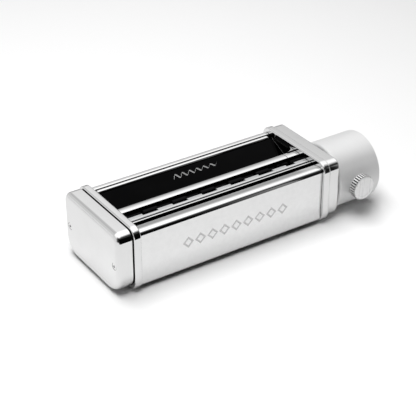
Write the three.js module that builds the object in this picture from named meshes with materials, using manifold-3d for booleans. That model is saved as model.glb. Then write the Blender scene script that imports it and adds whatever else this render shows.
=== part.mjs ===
// Ribbon cutter attachment for a kitchen mixer: a box-shaped housing with two meshing cutter
// rollers, driven through a round collar that a knurled thumbscrew clamps to the mixer.
// Millimetres, +Z up. X runs along the rollers towards the collar, -Y is the front.
import * as THREE from "three";
import { mergeVertices } from "three/addons/utils/BufferGeometryUtils.js";
import Module from "manifold-3d";

const wasm = await Module();
wasm.setup();

// ---- driving dimensions -------------------------------------------------------------------

const FIT_GAP = 0.3; // between pieces that touch in the real machine

const HALF_SPAN = 76; // middle of the machine to an end plate's inner face
const PLATE = { half: 38, top: 50.2, thick: 5.6, topR: 7.5, bottomR: 8.5, edge: 1.1 };
const CAP = { half: 36.9, low: 0.8, top: 49.2, topR: 6.8, bottomR: 8.2, wall: 1.8 };
const LEFT_CAP = { inner: -82.2, outer: -94, edge: 3.2 };
const RIGHT_CAP = { inner: 81.9, outer: 91.1, edge: 1.8, face: 2.6 };

const COVER = { front: -35.3, rear: 35.8, low: 5.1, top: 46.2, radius: 3.5, sheet: 1 };
const GUIDE = { rear: 28.6, rim: 46.1, crest: 25.9, slopeTop: 44.6, low: [6.5, 36], sheet: 0.8 };
const MIDDLE_BAR = { rear: -1.6, front: -8.2, low: 43.3, top: 46.5, radius: 1.1 };
const COMB_BAR = { front: -22.6, rear: -21.1, low: 38, top: 45.8 };

const FRONT_AXIS = [-13.1, 25.5];
const REAR_AXIS = [11.6, 22.9];
const CUTTER = { disc: 13, root: 10.6, bore: 4.3, start: -75.4, end: 75.4 };
const FRONT_DISCS = [-56, -32, -8, 16, 40].map((x) => [x - 5.8, x + 5.8]).concat([[58.2, 65]]);
const REAR_DISCS = [-68, -44, -20, 4, 28, 52].map((x) => [x - 5.8, x + 5.8]).concat([[65.4, 75]]);
const COMB_FINGERS = [-68, -44, -20, 4, 28, 52].map((x) => [x - 5.9, x + 5.9]).concat([[65.5, 75.5]]);
const SHAFT = { radius: 4, left: -91.4, right: 81.2, drive: 121, square: 9.5 };
const BUSH_RADIUS = 7.7;
const GEAR = { teeth: 20, tip: 1.15, root: 1.55, left: -89.4, right: -83 };

const COLLAR = { radius: 25.3, bore: 21.5, left: 91.4, right: 128.1, flange: 4, centreHole: 7 };
const COLLAR_SCREWS = { circle: 15, angles: [90, 210, 330], shank: 1.7, head: 3.3 };
const CLAMP = { x: 107.3, knobFace: -46, knobBack: -39.6, knobR: 9.2, shank: 2.9, tip: -29.9 };
const CLAMP_PAD = { radius: 4.5, front: -29.6, back: -27.4 };

const CAP_SCREWS = { rear: 29, front: -31.5, z: 24, shank: 1.6, head: 2.6, boss: 3 };
const TIES = {
  front_low: [-29.5, 9.6],
  front_high: [-29, 37.5],
  rear_low: [29.5, 17],
  rear_high: [31, 38],
};
const TIE = { rod: 3, bore: 2.2, shank: 1.9, head: 3.3 };

// ---- materials ----------------------------------------------------------------------------

const metal = (color, roughness) => new THREE.MeshStandardMaterial({ color, roughness, metalness: 1 });
const CHROME = metal(0xdcdedf, 0.08);
const SATIN = metal(0xc6c8ca, 0.38);
const POLISHED_DARK = metal(0x16171a, 0.12);
const STEEL = metal(0xb4b6b8, 0.3);
const BRONZE = metal(0xb08a56, 0.4);
const CAST = metal(0x8e9092, 0.5);

// ---- solids and booleans ------------------------------------------------------------------

// A closed three.js geometry as a solid that can be joined and cut.
function toSolid(geometry) {
  const bare = geometry.index ? geometry.toNonIndexed() : geometry.clone();
  bare.deleteAttribute("normal");
  bare.deleteAttribute("uv");
  const merged = mergeVertices(bare, 1e-4);
  return new wasm.Manifold(
    new wasm.Mesh({
      numProp: 3,
      vertProperties: new Float32Array(merged.attributes.position.array),
      triVerts: new Uint32Array(merged.index.array),
    }),
  );
}

// A solid back as a three.js geometry.
function toGeometry(solid) {
  const mesh = solid.getMesh();
  const geometry = new THREE.BufferGeometry();
  geometry.setAttribute("position", new THREE.BufferAttribute(new Float32Array(mesh.vertProperties), 3));
  geometry.setIndex(new THREE.BufferAttribute(new Uint32Array(mesh.triVerts), 1));
  geometry.computeVertexNormals();
  return geometry;
}

const join = (...parts) => toGeometry(parts.map(toSolid).reduce((all, next) => all.add(next)));
const cut = (body, ...tools) =>
  toGeometry(tools.map(toSolid).reduce((left, tool) => left.subtract(tool), toSolid(body)));

// ---- shape helpers ------------------------------------------------------------------------

// Sketches are drawn in (y, z) and run along x.
const SKETCH_TO_X = new THREE.Matrix4().set(0, 0, 1, 0, 1, 0, 0, 0, 0, 1, 0, 0, 0, 0, 0, 1);
// Turned profiles are (radius, x) points, spun about the x axis.
const SPIN_TO_X = new THREE.Matrix4().set(0, 1, 0, 0, 0, 0, 1, 0, 1, 0, 0, 0, 0, 0, 0, 1);

// A flat (y, z) shape extruded from x0 to x1.
function prism(shape, x0, x1, curveSegments = 6) {
  const geometry = new THREE.ExtrudeGeometry(shape, { depth: x1 - x0, bevelEnabled: false, curveSegments });
  return geometry.applyMatrix4(SKETCH_TO_X).translate(x0, 0, 0);
}

// The same with both ends rounded over by the given edge radius.
function softPrism(shape, x0, x1, edge, bevelSegments = 2) {
  const geometry = new THREE.ExtrudeGeometry(shape, {
    depth: x1 - x0 - 2 * edge,
    bevelThickness: edge,
    bevelSize: edge,
    bevelOffset: -edge,
    bevelSegments,
    curveSegments: 5,
  });
  return geometry.applyMatrix4(SKETCH_TO_X).translate(x0 + edge, 0, 0);
}

// A closed profile of [x, radius] points, turned about the line y, z.
function turned(points, [y, z], segments) {
  const profile = points.map(([x, r]) => new THREE.Vector2(r, x));
  profile.push(profile[0].clone());
  return new THREE.LatheGeometry(profile, segments).applyMatrix4(SPIN_TO_X).translate(0, y, z);
}

// A plain round bar between x0 and x1 with lightly broken ends.
function bar(radius, x0, x1, centre, segments = 16, ease = 0.3) {
  const rims = [[x1, radius - ease], [x1 - ease, radius], [x0 + ease, radius], [x0, radius - ease]];
  const points = [[x0, 0], [x1, 0], ...rims];
  const profile = points.map(([x, r]) => new THREE.Vector2(r, x));
  profile.push(profile[0].clone());
  const spun = new THREE.LatheGeometry(profile.reverse(), segments);
  return spun.applyMatrix4(SPIN_TO_X).translate(0, ...centre);
}

// A tube between x0 and x1.
const tube = (outer, inner, x0, x1, centre, segments = 20) =>
  turned([[x0, inner], [x0, outer], [x1, outer], [x1, inner]], centre, segments);

// A rounded rectangle with its own top and bottom corner radii.
function roundedOutline(y0, y1, z0, z1, topR, bottomR) {
  const shape = new THREE.Shape();
  shape.moveTo(y0 + bottomR, z0);
  shape.lineTo(y1 - bottomR, z0);
  shape.absarc(y1 - bottomR, z0 + bottomR, bottomR, -Math.PI / 2, 0);
  shape.lineTo(y1, z1 - topR);
  shape.absarc(y1 - topR, z1 - topR, topR, 0, Math.PI / 2);
  shape.lineTo(y0 + topR, z1);
  shape.absarc(y0 + topR, z1 - topR, topR, Math.PI / 2, Math.PI);
  shape.lineTo(y0, z0 + bottomR);
  shape.absarc(y0 + bottomR, z0 + bottomR, bottomR, Math.PI, 1.5 * Math.PI);
  return shape;
}

const box = (y0, y1, z0, z1, x0, x1) => prism(roundedOutline(y0, y1, z0, z1, 0.2, 0.2), x0, x1, 1);

// Bent sheet: a bend line in (y, z) thickened to both sides.
function sheetOutline(path, thickness) {
  const half = thickness / 2;
  const points = path.map(([y, z]) => new THREE.Vector2(y, z));
  const offset = points.map((p, i) => {
    const before = (i ? p.clone().sub(points[i - 1]) : points[1].clone().sub(p)).normalize();
    const after = (i < points.length - 1 ? points[i + 1].clone().sub(p) : before.clone()).normalize();
    const normal = new THREE.Vector2(-before.y - after.y, before.x + after.x).normalize();
    return normal.multiplyScalar(half / Math.max(0.5, normal.dot(new THREE.Vector2(-after.y, after.x))));
  });
  const oneSide = points.map((p, i) => p.clone().add(offset[i]));
  const otherSide = points.map((p, i) => p.clone().sub(offset[i])).reverse();
  return new THREE.Shape([...oneSide, ...otherSide]);
}

// Points of a bend of the given radius about a centre, from one angle to another in degrees.
function bend([y, z], radius, from, to, steps = 4) {
  const points = [];
  for (let i = 0; i <= steps; i += 1) {
    const angle = THREE.MathUtils.degToRad(from + ((to - from) * i) / steps);
    points.push([y + radius * Math.cos(angle), z + radius * Math.sin(angle)]);
  }
  return points;
}

const machine = new THREE.Group();

function add(name, geometry, material) {
  const mesh = new THREE.Mesh(geometry, material.clone());
  mesh.name = name;
  machine.add(mesh);
  return mesh;
}

// ---- end plates ---------------------------------------------------------------------------

const drill = (radius, centre, x0, x1, segments = 14) => bar(radius, x0, x1, centre, segments, 0);
const collarScrewAt = COLLAR_SCREWS.angles.map((degrees) => {
  const angle = THREE.MathUtils.degToRad(degrees);
  const reach = COLLAR_SCREWS.circle;
  return [FRONT_AXIS[0] + reach * Math.cos(angle), FRONT_AXIS[1] + reach * Math.sin(angle)];
});
const capScrewAt = { front: [CAP_SCREWS.front, CAP_SCREWS.z], rear: [CAP_SCREWS.rear, CAP_SCREWS.z] };

function endPlate(x0, x1, extraHoles) {
  const outline = roundedOutline(-PLATE.half, PLATE.half, 0, PLATE.top, PLATE.topR, PLATE.bottomR);
  const ties = Object.values(TIES).map((at) => drill(TIE.shank + FIT_GAP, at, x0 - 1, x1 + 1, 12));
  const bores = [FRONT_AXIS, REAR_AXIS].map((at) => drill(BUSH_RADIUS + FIT_GAP, at, x0 - 1, x1 + 1, 24));
  return cut(softPrism(outline, x0, x1, PLATE.edge), ...ties, ...bores, ...extraHoles);
}

const plateOuter = HALF_SPAN + PLATE.thick;
const capHoles = Object.values(capScrewAt).map((at) =>
  drill(CAP_SCREWS.shank + FIT_GAP, at, -plateOuter - 1, -HALF_SPAN + 1, 12),
);
const collarHoles = collarScrewAt.map((at) =>
  drill(COLLAR_SCREWS.shank + FIT_GAP, at, HALF_SPAN - 1, plateOuter + 1, 12),
);
add("left_end_plate", endPlate(-plateOuter, -HALF_SPAN, capHoles), CHROME);
add("right_end_plate", endPlate(HALF_SPAN, plateOuter, collarHoles), CHROME);

// ---- covers, guide plate and bars ---------------------------------------------------------

const inside = HALF_SPAN - FIT_GAP;
const half = COVER.sheet / 2;
const coverBend = COVER.radius - half;
const lowZ = COVER.low + COVER.radius;
const highZ = COVER.top - COVER.radius;

const frontCover = [
  [COVER.front + 6.5, COVER.low + half],
  ...bend([COVER.front + COVER.radius, lowZ], coverBend, 270, 180),
  ...bend([COVER.front + COVER.radius, highZ], coverBend, 180, 90, 5),
  [-30.4, COVER.top - half - 0.1],
  [-27.4, 44.9],
  [-26.5, 44.2],
  [-26.3, 43.2],
  [-26.3, 41.2],
];
add("front_cover", prism(sheetOutline(frontCover, COVER.sheet), -inside, inside), CHROME);

const rearCover = [
  [COVER.rear - 6.5, COVER.low + half],
  ...bend([COVER.rear - COVER.radius, lowZ], coverBend, 270, 360),
  ...bend([COVER.rear - COVER.radius, highZ], coverBend, 0, 90, 5),
  ...bend([30.9, COVER.top - half - 0.9], 0.9, 90, 180, 2),
  [30, 42.4],
];
add("rear_cover", prism(sheetOutline(rearCover, COVER.sheet), -inside, inside), CHROME);

const guide = [
  [GUIDE.rear, 43],
  ...bend([GUIDE.rear - 0.8, GUIDE.rim - 0.8], 0.8, 0, 90, 2),
  ...bend([GUIDE.crest + 0.6, GUIDE.rim - 1.2], 1.2, 90, 150, 2),
  [25.1, GUIDE.slopeTop - 0.1],
  GUIDE.low,
];
add("guide_plate", prism(sheetOutline(guide, GUIDE.sheet), -inside, inside), POLISHED_DARK);

const middleBar = roundedOutline(
  MIDDLE_BAR.front, MIDDLE_BAR.rear, MIDDLE_BAR.low, MIDDLE_BAR.top, MIDDLE_BAR.radius, 0.4,
);
add("middle_bar", prism(middleBar, -inside, inside, 3), CHROME);
add("comb_bar", box(COMB_BAR.front, COMB_BAR.rear, COMB_BAR.low, COMB_BAR.top, -inside, inside), STEEL);

// ---- combs that keep the dough off the rollers --------------------------------------------

const topCombBase = sheetOutline([[-20.1, 40.5], [-20.1, 45.1], [-16.9, 45.1]], 1);
const topCombFinger = sheetOutline([[-17.3, 45.1], [-14.8, 45.1], [-14.8, 36.9]], 1);
const topFingers = COMB_FINGERS.map(([x0, x1]) => prism(topCombFinger, x0, x1));
add("front_top_comb", join(prism(topCombBase, -inside, inside), ...topFingers), STEEL);

function lowerComb(baseY0, baseY1, baseZ0, baseZ1, tipY, fingerZ, slots) {
  const inner = Math.abs(baseY0) < Math.abs(baseY1) ? baseY0 : baseY1;
  const [y0, y1] = [Math.min(inner, tipY), Math.max(inner, tipY)];
  const reach = Math.sign(inner);
  const fingers = slots.map(([x0, x1]) =>
    box(y0 - (reach < 0 ? 0.5 : 0), y1 + (reach > 0 ? 0.5 : 0), fingerZ, fingerZ + 1, x0, x1),
  );
  return join(box(baseY0, baseY1, baseZ0, baseZ1, -inside, inside), ...fingers);
}
const rearFingers = FRONT_DISCS.slice(0, 5).map(([x0, x1]) => [x0 - 0.1, x1 + 0.1]);
add("front_low_comb", lowerComb(-32, -28, 13, 17, -8, 13.2, COMB_FINGERS), STEEL);
add("rear_low_comb", lowerComb(27, 32, 8.5, 12.2, 6, 10.6, rearFingers), STEEL);

// ---- rollers ------------------------------------------------------------------------------

// Cutter: discs and grooves turned in one piece on a through bore.
function cutter(discs, centre) {
  const points = [[CUTTER.start, CUTTER.bore], [CUTTER.start, CUTTER.root]];
  for (const [x0, x1] of discs) {
    points.push([x0, CUTTER.root], [x0, CUTTER.disc], [x1, CUTTER.disc], [x1, CUTTER.root]);
  }
  points.push([CUTTER.end, CUTTER.root], [CUTTER.end, CUTTER.bore]);
  return turned(points, centre, 24);
}
add("front_cutter", cutter(FRONT_DISCS, FRONT_AXIS), STEEL);
add("rear_cutter", cutter(REAR_DISCS, REAR_AXIS), STEEL);

// Drive shaft: round through the rollers, square inside the collar.
const driveSquare = SHAFT.square / 2;
const square = new THREE.Shape();
square.moveTo(-driveSquare, -driveSquare + 0.6);
square.lineTo(-driveSquare + 0.6, -driveSquare);
square.lineTo(driveSquare - 0.6, -driveSquare);
square.lineTo(driveSquare, -driveSquare + 0.6);
square.lineTo(driveSquare, driveSquare - 0.6);
square.lineTo(driveSquare - 0.6, driveSquare);
square.lineTo(-driveSquare + 0.6, driveSquare);
square.lineTo(-driveSquare, driveSquare - 0.6);
const driveEnd = prism(square, 99, SHAFT.drive).translate(0, ...FRONT_AXIS);
add("front_shaft", join(bar(SHAFT.radius, SHAFT.left, 101, FRONT_AXIS, 20), driveEnd), STEEL);
add("rear_shaft", bar(SHAFT.radius, SHAFT.left, SHAFT.right, REAR_AXIS, 20), STEEL);

for (const [roller, centre] of [["front", FRONT_AXIS], ["rear", REAR_AXIS]]) {
  const [x0, x1] = [HALF_SPAN + 0.2, plateOuter - 0.3];
  add(`${roller}_left_bush`, tube(BUSH_RADIUS, CUTTER.bore, -x1, -x0, centre, 24), BRONZE);
  add(`${roller}_right_bush`, tube(BUSH_RADIUS, CUTTER.bore, x0, x1, centre, 24), BRONZE);
}

// Gears of one size turn the rollers against each other.
const centreLine = new THREE.Vector2(REAR_AXIS[0] - FRONT_AXIS[0], REAR_AXIS[1] - FRONT_AXIS[1]);
const pitchRadius = centreLine.length() / 2;

function gearShape(toothAngle) {
  const shape = new THREE.Shape();
  const step = (2 * Math.PI) / GEAR.teeth;
  const flanks = [
    [-0.36, -GEAR.root],
    [-0.13, GEAR.tip],
    [0.13, GEAR.tip],
    [0.36, -GEAR.root],
  ];
  for (let tooth = 0; tooth < GEAR.teeth; tooth += 1) {
    for (const [part, height] of flanks) {
      const angle = toothAngle + (tooth + part) * step;
      const radius = pitchRadius + height;
      const point = [radius * Math.cos(angle), radius * Math.sin(angle)];
      if (tooth === 0 && part === flanks[0][0]) shape.moveTo(...point);
      else shape.lineTo(...point);
    }
  }
  shape.closePath();
  const hole = new THREE.Path();
  hole.absarc(0, 0, CUTTER.bore, 0, 2 * Math.PI, true);
  shape.holes.push(hole);
  return shape;
}

const lineAngle = centreLine.angle();
const halfTooth = Math.PI / GEAR.teeth;
const gear = (angle, centre) => prism(gearShape(angle), GEAR.left, GEAR.right).translate(0, ...centre);
add("front_gear", gear(lineAngle, FRONT_AXIS), CAST);
add("rear_gear", gear(lineAngle + Math.PI + halfTooth, REAR_AXIS), CAST);
add("front_gear_clip", tube(7, CUTTER.bore, -90.5, GEAR.left - FIT_GAP, FRONT_AXIS, 16), STEEL);
add("rear_gear_clip", tube(7, CUTTER.bore, -90.5, GEAR.left - FIT_GAP, REAR_AXIS, 16), STEEL);

// ---- end caps -----------------------------------------------------------------------------

const { half: capHalf, wall } = CAP;
const capOutline = roundedOutline(-capHalf, capHalf, CAP.low, CAP.top, CAP.topR, CAP.bottomR);
const capHollow = roundedOutline(
  -capHalf + wall, capHalf - wall, CAP.low + wall, CAP.top - wall, CAP.topR - wall, CAP.bottomR - wall,
);
const wide = (x0, x1) => box(-60, 60, -10, 70, x0, x1);

// Left cap: a deep shell over the gears, with a tube round each of its two screws.
const leftShell = cut(
  softPrism(capOutline, LEFT_CAP.outer, LEFT_CAP.inner + 8, LEFT_CAP.edge, 4),
  wide(LEFT_CAP.inner, LEFT_CAP.inner + 20),
  prism(capHollow, LEFT_CAP.outer + CAP.wall, LEFT_CAP.inner + 1),
);
const leftBosses = Object.values(capScrewAt).map((at) =>
  bar(CAP_SCREWS.boss, LEFT_CAP.outer + 1, LEFT_CAP.inner, at, 16, 0),
);
const leftSinks = Object.values(capScrewAt).flatMap((at) => [
  drill(CAP_SCREWS.shank + FIT_GAP, at, LEFT_CAP.outer - 1, LEFT_CAP.inner + 1, 12),
  drill(CAP_SCREWS.head + FIT_GAP, at, LEFT_CAP.outer - 1, LEFT_CAP.outer + 1.4, 16),
]);
add("left_cap", cut(join(leftShell, ...leftBosses), ...leftSinks), CHROME);

// Right cap: a shallow shell with the shaft hole and three pillars under the collar's screws.
const rightShell = cut(
  softPrism(capOutline, RIGHT_CAP.inner - 6, RIGHT_CAP.outer, RIGHT_CAP.edge, 3),
  wide(RIGHT_CAP.inner - 20, RIGHT_CAP.inner),
  prism(capHollow, RIGHT_CAP.inner - 1, RIGHT_CAP.outer - RIGHT_CAP.face),
);
const pillars = collarScrewAt.map((at) => bar(3.6, RIGHT_CAP.inner, RIGHT_CAP.outer - 1, at, 16, 0));
const rightDrills = collarScrewAt.map((at) =>
  drill(COLLAR_SCREWS.shank + FIT_GAP, at, RIGHT_CAP.inner - 1, RIGHT_CAP.outer + 1, 12),
);
const shaftHole = drill(6, FRONT_AXIS, RIGHT_CAP.inner - 1, RIGHT_CAP.outer + 1, 24);
add("right_cap", cut(join(rightShell, ...pillars), ...rightDrills, shaftHole), CHROME);

// ---- collar and its thumbscrew ------------------------------------------------------------

const collarBack = COLLAR.left + COLLAR.flange;
const collarTube = turned(
  [
    [COLLAR.left, COLLAR.centreHole],
    [COLLAR.left, COLLAR.radius - 0.4],
    [COLLAR.left + 0.4, COLLAR.radius],
    [COLLAR.right - 0.8, COLLAR.radius],
    [COLLAR.right, COLLAR.radius - 0.8],
    [COLLAR.right, COLLAR.bore + 0.8],
    [COLLAR.right - 0.8, COLLAR.bore],
    [collarBack, COLLAR.bore],
    [collarBack, COLLAR.centreHole],
  ],
  FRONT_AXIS,
  56,
);
const flangeDrills = collarScrewAt.map((at) =>
  drill(COLLAR_SCREWS.shank + FIT_GAP, at, COLLAR.left - 1, collarBack + 1, 12),
);
const TURN_TO_MINUS_Y = new THREE.Matrix4().makeRotationZ(-Math.PI / 2);
// A round bar along y from y0 (nearer the front) to y1, through the clamp's axis.
const crossBar = (radius, y0, y1, segments = 20, ease = 0.3) =>
  bar(radius, -y1, -y0, [0, 0], segments, ease)
    .applyMatrix4(TURN_TO_MINUS_Y)
    .translate(CLAMP.x, 0, FRONT_AXIS[1]);
const clampHole = crossBar(CLAMP.shank + FIT_GAP, -45, FRONT_AXIS[0] - 12, 20, 0);
add("collar", cut(collarTube, ...flangeDrills, clampHole), SATIN);

// Knurled knob: ridges round the rim, both rims eased, blind hole for the screw.
const knurl = new THREE.Shape();
const RIDGES = 40;
for (let i = 0; i < RIDGES * 2; i += 1) {
  const angle = (i * Math.PI) / RIDGES;
  const radius = CLAMP.knobR - 0.7 - (i % 2 ? 0.45 : 0);
  const point = [radius * Math.cos(angle), radius * Math.sin(angle)];
  if (i) knurl.lineTo(...point);
  else knurl.moveTo(...point);
}
knurl.closePath();
const knob = new THREE.ExtrudeGeometry(knurl, {
  depth: CLAMP.knobBack - CLAMP.knobFace - 1.4,
  bevelThickness: 0.7,
  bevelSize: 0.7,
  bevelSegments: 1,
})
  .rotateX(Math.PI / 2)
  .translate(CLAMP.x, CLAMP.knobBack - 0.7, FRONT_AXIS[1]);
const knobHole = crossBar(CLAMP.shank + FIT_GAP, CLAMP.knobFace + 2, CLAMP.knobBack + 1, 20, 0);
add("clamp_knob", cut(knob, knobHole), SATIN);
add("clamp_screw", crossBar(CLAMP.shank, CLAMP.knobFace + 2.4, CLAMP.tip), STEEL);
add("clamp_pad", crossBar(CLAMP_PAD.radius, CLAMP_PAD.front, CLAMP_PAD.back, 24, 0.4), STEEL);

// ---- tie rods and screws ------------------------------------------------------------------

// A screw along x with an eased head. The tip is on the other side of headBase from headTop.
function plainScrew(head, shank, headTop, headBase, tip, centre, segments = 10) {
  const away = Math.sign(headTop - tip);
  const points = [
    [tip, 0],
    [tip, shank - 0.4],
    [tip + 0.4 * away, shank],
    [headBase, shank],
    [headBase, head],
    [headTop - 0.5 * away, head],
    [headTop, head - 0.8],
    [headTop, 0],
  ];
  const profile = points.map(([x, r]) => new THREE.Vector2(r, x));
  profile.push(profile[0].clone());
  const ordered = away > 0 ? profile : profile.reverse();
  return new THREE.LatheGeometry(ordered, segments).applyMatrix4(SPIN_TO_X).translate(0, ...centre);
}

// The same screw with a cross slot in its head.
function screw(head, shank, headTop, headBase, tip, centre) {
  const body = plainScrew(head, shank, headTop, headBase, tip, centre, 12);
  const away = Math.sign(headTop - tip);
  const [y, z] = centre;
  const [x0, x1] = [headTop - 0.6 * away, headTop + away].sort((a, b) => a - b);
  const arm = head * 0.6;
  return cut(
    body,
    box(y - arm, y + arm, z - 0.35, z + 0.35, x0, x1),
    box(y - 0.35, y + 0.35, z - arm, z + arm, x0, x1),
  );
}

const headGap = plateOuter + FIT_GAP;
for (const [place, at] of Object.entries(TIES)) {
  add(`tie_rod_${place}`, tube(TIE.rod, TIE.bore, -inside, inside, at, 16), STEEL);
  add(`tie_screw_left_${place}`, plainScrew(TIE.head, TIE.shank, -headGap - 2, -headGap, -67, at), STEEL);
  add(`tie_screw_right_${place}`, plainScrew(TIE.head, TIE.shank, headGap + 2, headGap, 67, at), STEEL);
}
const sunk = LEFT_CAP.outer + 1.1;
for (const [place, at] of Object.entries(capScrewAt)) {
  add(`cap_screw_${place}`, screw(CAP_SCREWS.head, CAP_SCREWS.shank, sunk - 1.1, sunk, -77, at), STEEL);
}
const seat = collarBack + FIT_GAP;
collarScrewAt.forEach((at, i) => {
  const name = `collar_screw_${i + 1}`;
  add(name, screw(COLLAR_SCREWS.head, COLLAR_SCREWS.shank, seat + 2.2, seat, 77, at), STEEL);
});

// ---- frame: the origin is under the middle of the whole machine ---------------------------

const bounds = new THREE.Box3().setFromObject(machine);
const middle = bounds.getCenter(new THREE.Vector3());
machine.position.set(-middle.x, -middle.y, -bounds.min.z);

export default machine;
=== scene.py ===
import math

import bmesh
import bpy
from bpy.props import FloatProperty, FloatVectorProperty, IntProperty, PointerProperty
from mathutils import Matrix, Vector


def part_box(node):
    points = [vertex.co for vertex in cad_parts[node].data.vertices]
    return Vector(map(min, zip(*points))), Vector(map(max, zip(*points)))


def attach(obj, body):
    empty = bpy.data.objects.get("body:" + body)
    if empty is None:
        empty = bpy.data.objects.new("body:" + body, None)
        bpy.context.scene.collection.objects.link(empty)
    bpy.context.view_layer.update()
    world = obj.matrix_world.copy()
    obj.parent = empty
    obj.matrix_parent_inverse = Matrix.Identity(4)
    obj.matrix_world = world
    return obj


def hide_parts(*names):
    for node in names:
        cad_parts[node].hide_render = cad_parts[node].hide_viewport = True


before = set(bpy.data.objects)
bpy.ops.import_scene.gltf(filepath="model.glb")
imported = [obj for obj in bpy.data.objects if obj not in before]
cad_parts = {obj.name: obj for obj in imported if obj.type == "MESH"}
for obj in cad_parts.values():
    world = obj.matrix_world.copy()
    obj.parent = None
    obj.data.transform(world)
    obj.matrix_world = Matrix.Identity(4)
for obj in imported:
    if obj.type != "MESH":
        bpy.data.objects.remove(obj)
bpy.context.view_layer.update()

bl_info = {
    "name": "Ribbon cutter attachment",
    "version": (1, 0, 0),
    "blender": (4, 5, 0),
    "location": "View3D > Sidebar > Ribbon cutter",
    "description": "Builds the looks of a mixer's pasta ribbon cutter around its packed frame",
    "category": "Object",
}

MM = 0.001
NEAR = 1e-4  # millimetres: two places closer than this are one place

# ---- places taken from the frame, in millimetres from the middle of the cutting width ----------

PLATE_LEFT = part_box("left_end_plate")
PLATE_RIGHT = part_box("right_end_plate")
MIDDLE = Vector(
    (
        (PLATE_LEFT[0].x + PLATE_RIGHT[1].x) / 2,
        (PLATE_LEFT[0].y + PLATE_LEFT[1].y) / 2,
        PLATE_LEFT[0].z,
    )
)


def node_box(name):
    """A node's lowest and highest corners in millimetres from the machine's middle."""
    low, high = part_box(name)
    return (low - MIDDLE) / MM, (high - MIDDLE) / MM


def node_axis(name):
    """The y and z of the x axis that a round node is centred on."""
    low, high = node_box(name)
    return ((low.y + high.y) / 2, (low.z + high.z) / 2)


LEFT_CAP_LOW, LEFT_CAP_HIGH = node_box("left_cap")
RIGHT_CAP_LOW, RIGHT_CAP_HIGH = node_box("right_cap")
COLLAR_LOW, COLLAR_HIGH = node_box("collar")
FRONT_LOW, FRONT_HIGH = node_box("front_cover")
REAR_LOW, REAR_HIGH = node_box("rear_cover")
KNOB_LOW, KNOB_HIGH = node_box("clamp_knob")
FRONT_AXIS = node_axis("front_cutter")
REAR_AXIS = node_axis("rear_cutter")
COLLAR_AXIS = node_axis("collar")
CLAMP_X = (KNOB_LOW.x + KNOB_HIGH.x) / 2
CLAMP_Z = (KNOB_LOW.z + KNOB_HIGH.z) / 2


# ---- what a user would change ------------------------------------------------------------------


def length(name, description, millimetres):
    given = {"default": millimetres * MM, "unit": "LENGTH", "min": 0.0, "precision": 5}
    return FloatProperty(name=name, description=description, **given)


def count(name, description, value, least):
    return IntProperty(name=name, description=description, default=value, min=least)


def colour(name, description, value):
    given = {"default": value, "subtype": "COLOR", "size": 3, "min": 0.0, "max": 1.0}
    return FloatVectorProperty(name=name, description=description, **given)


class RibbonCutterSizes(bpy.types.PropertyGroup):
    plate_top_radius: length("Plate top corners", "Radius of the end plates' two top corners", 7.5)
    plate_low_radius: length("Plate low corners", "Radius of the end plates' two low corners", 11.0)
    plate_edge: length("Plate edge", "Rounding along the rim of both end plates", 1.1)
    cap_top_radius: length("Cap top corners", "Radius of the end caps' two top corners", 6.8)
    cap_low_radius: length("Cap low corners", "Radius of the end caps' two low corners", 13.0)
    left_cap_low: length("Closed cap low corners", "Radius of the closed cap's two low corners", 15.0)
    left_cap_edge: length("Closed cap edge", "Rounding between the closed cap's sides and its face", 4.0)
    right_cap_edge: length("Collar cap edge", "Rounding between the collar cap's sides and its face", 1.8)
    cover_drop: length("Cover drop", "How far the covers hang below their bearing edge", 2.4)
    cover_bend: length("Cover bend", "Outer radius of the covers' long bends", 3.5)
    sheet: length("Cover sheet", "Thickness of the covers' chromed sheet", 1.0)
    guide_sheet: length("Guide sheet", "Thickness of the polished guide plate", 0.8)
    disc_edge: length("Disc edge", "Broken edge on each cutter disc", 0.25)
    disc_radius: length("Disc radius", "Outer radius of the cutter discs", 13.0)
    root_radius: length("Groove radius", "Radius at the bottom of the cutters' grooves", 10.6)
    knurl_depth: length("Knurl depth", "Height of the ridges round the thumbscrew's rim", 0.8)
    collar_lip: length("Collar lip", "Rounding of the collar's open mouth", 0.8)


class RibbonCutterCounts(bpy.types.PropertyGroup):
    knurl_ridges: count("Knurl ridges", "Ridges round the thumbscrew's rim", 30, 12)
    turn_steps: count("Turned steps", "Steps round the thumbscrew's turned core", 96, 24)
    bend_steps: count("Bend steps", "Steps across each bend of the covers", 8, 2)


class RibbonCutterColours(bpy.types.PropertyGroup):
    chrome: colour("Chrome", "Reflected colour of the chromed pieces", (0.675, 0.675, 0.675))
    satin: colour("Satin aluminium", "Reflected colour of the collar and knob", (0.74, 0.74, 0.74))
    steel: colour("Ground steel", "Reflected colour of rollers, combs and rods", (0.535, 0.54, 0.545))
    # near-black tint: painted shade on the rollers and shafts, and on the painted-shade flanks
    roller_shade: colour("Roller shade", "Reflected colour of the dark cutter discs", (0.008, 0.008, 0.0085))
    # near-black tint: painted shade on the guide plate in the feed opening
    dark: colour("Guide shade", "Reflected colour of the guide plate", (0.0016, 0.0016, 0.0017))
    bronze: colour("Bronze", "Reflected colour of the shaft bushes", (0.55, 0.36, 0.17))
    sintered: colour("Sintered steel", "Reflected colour of the gears", (0.20, 0.20, 0.21))
    floor: colour("Floor", "Colour of the pale floor", (0.95, 0.95, 0.95))


def sizes():
    return bpy.context.scene.ribbon_cutter_sizes


def counts():
    return bpy.context.scene.ribbon_cutter_counts


def colours():
    return bpy.context.scene.ribbon_cutter_colours


def mm(value):
    """A length property in millimetres."""
    return value / MM


# ---- shader node groups ------------------------------------------------------------------------


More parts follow.
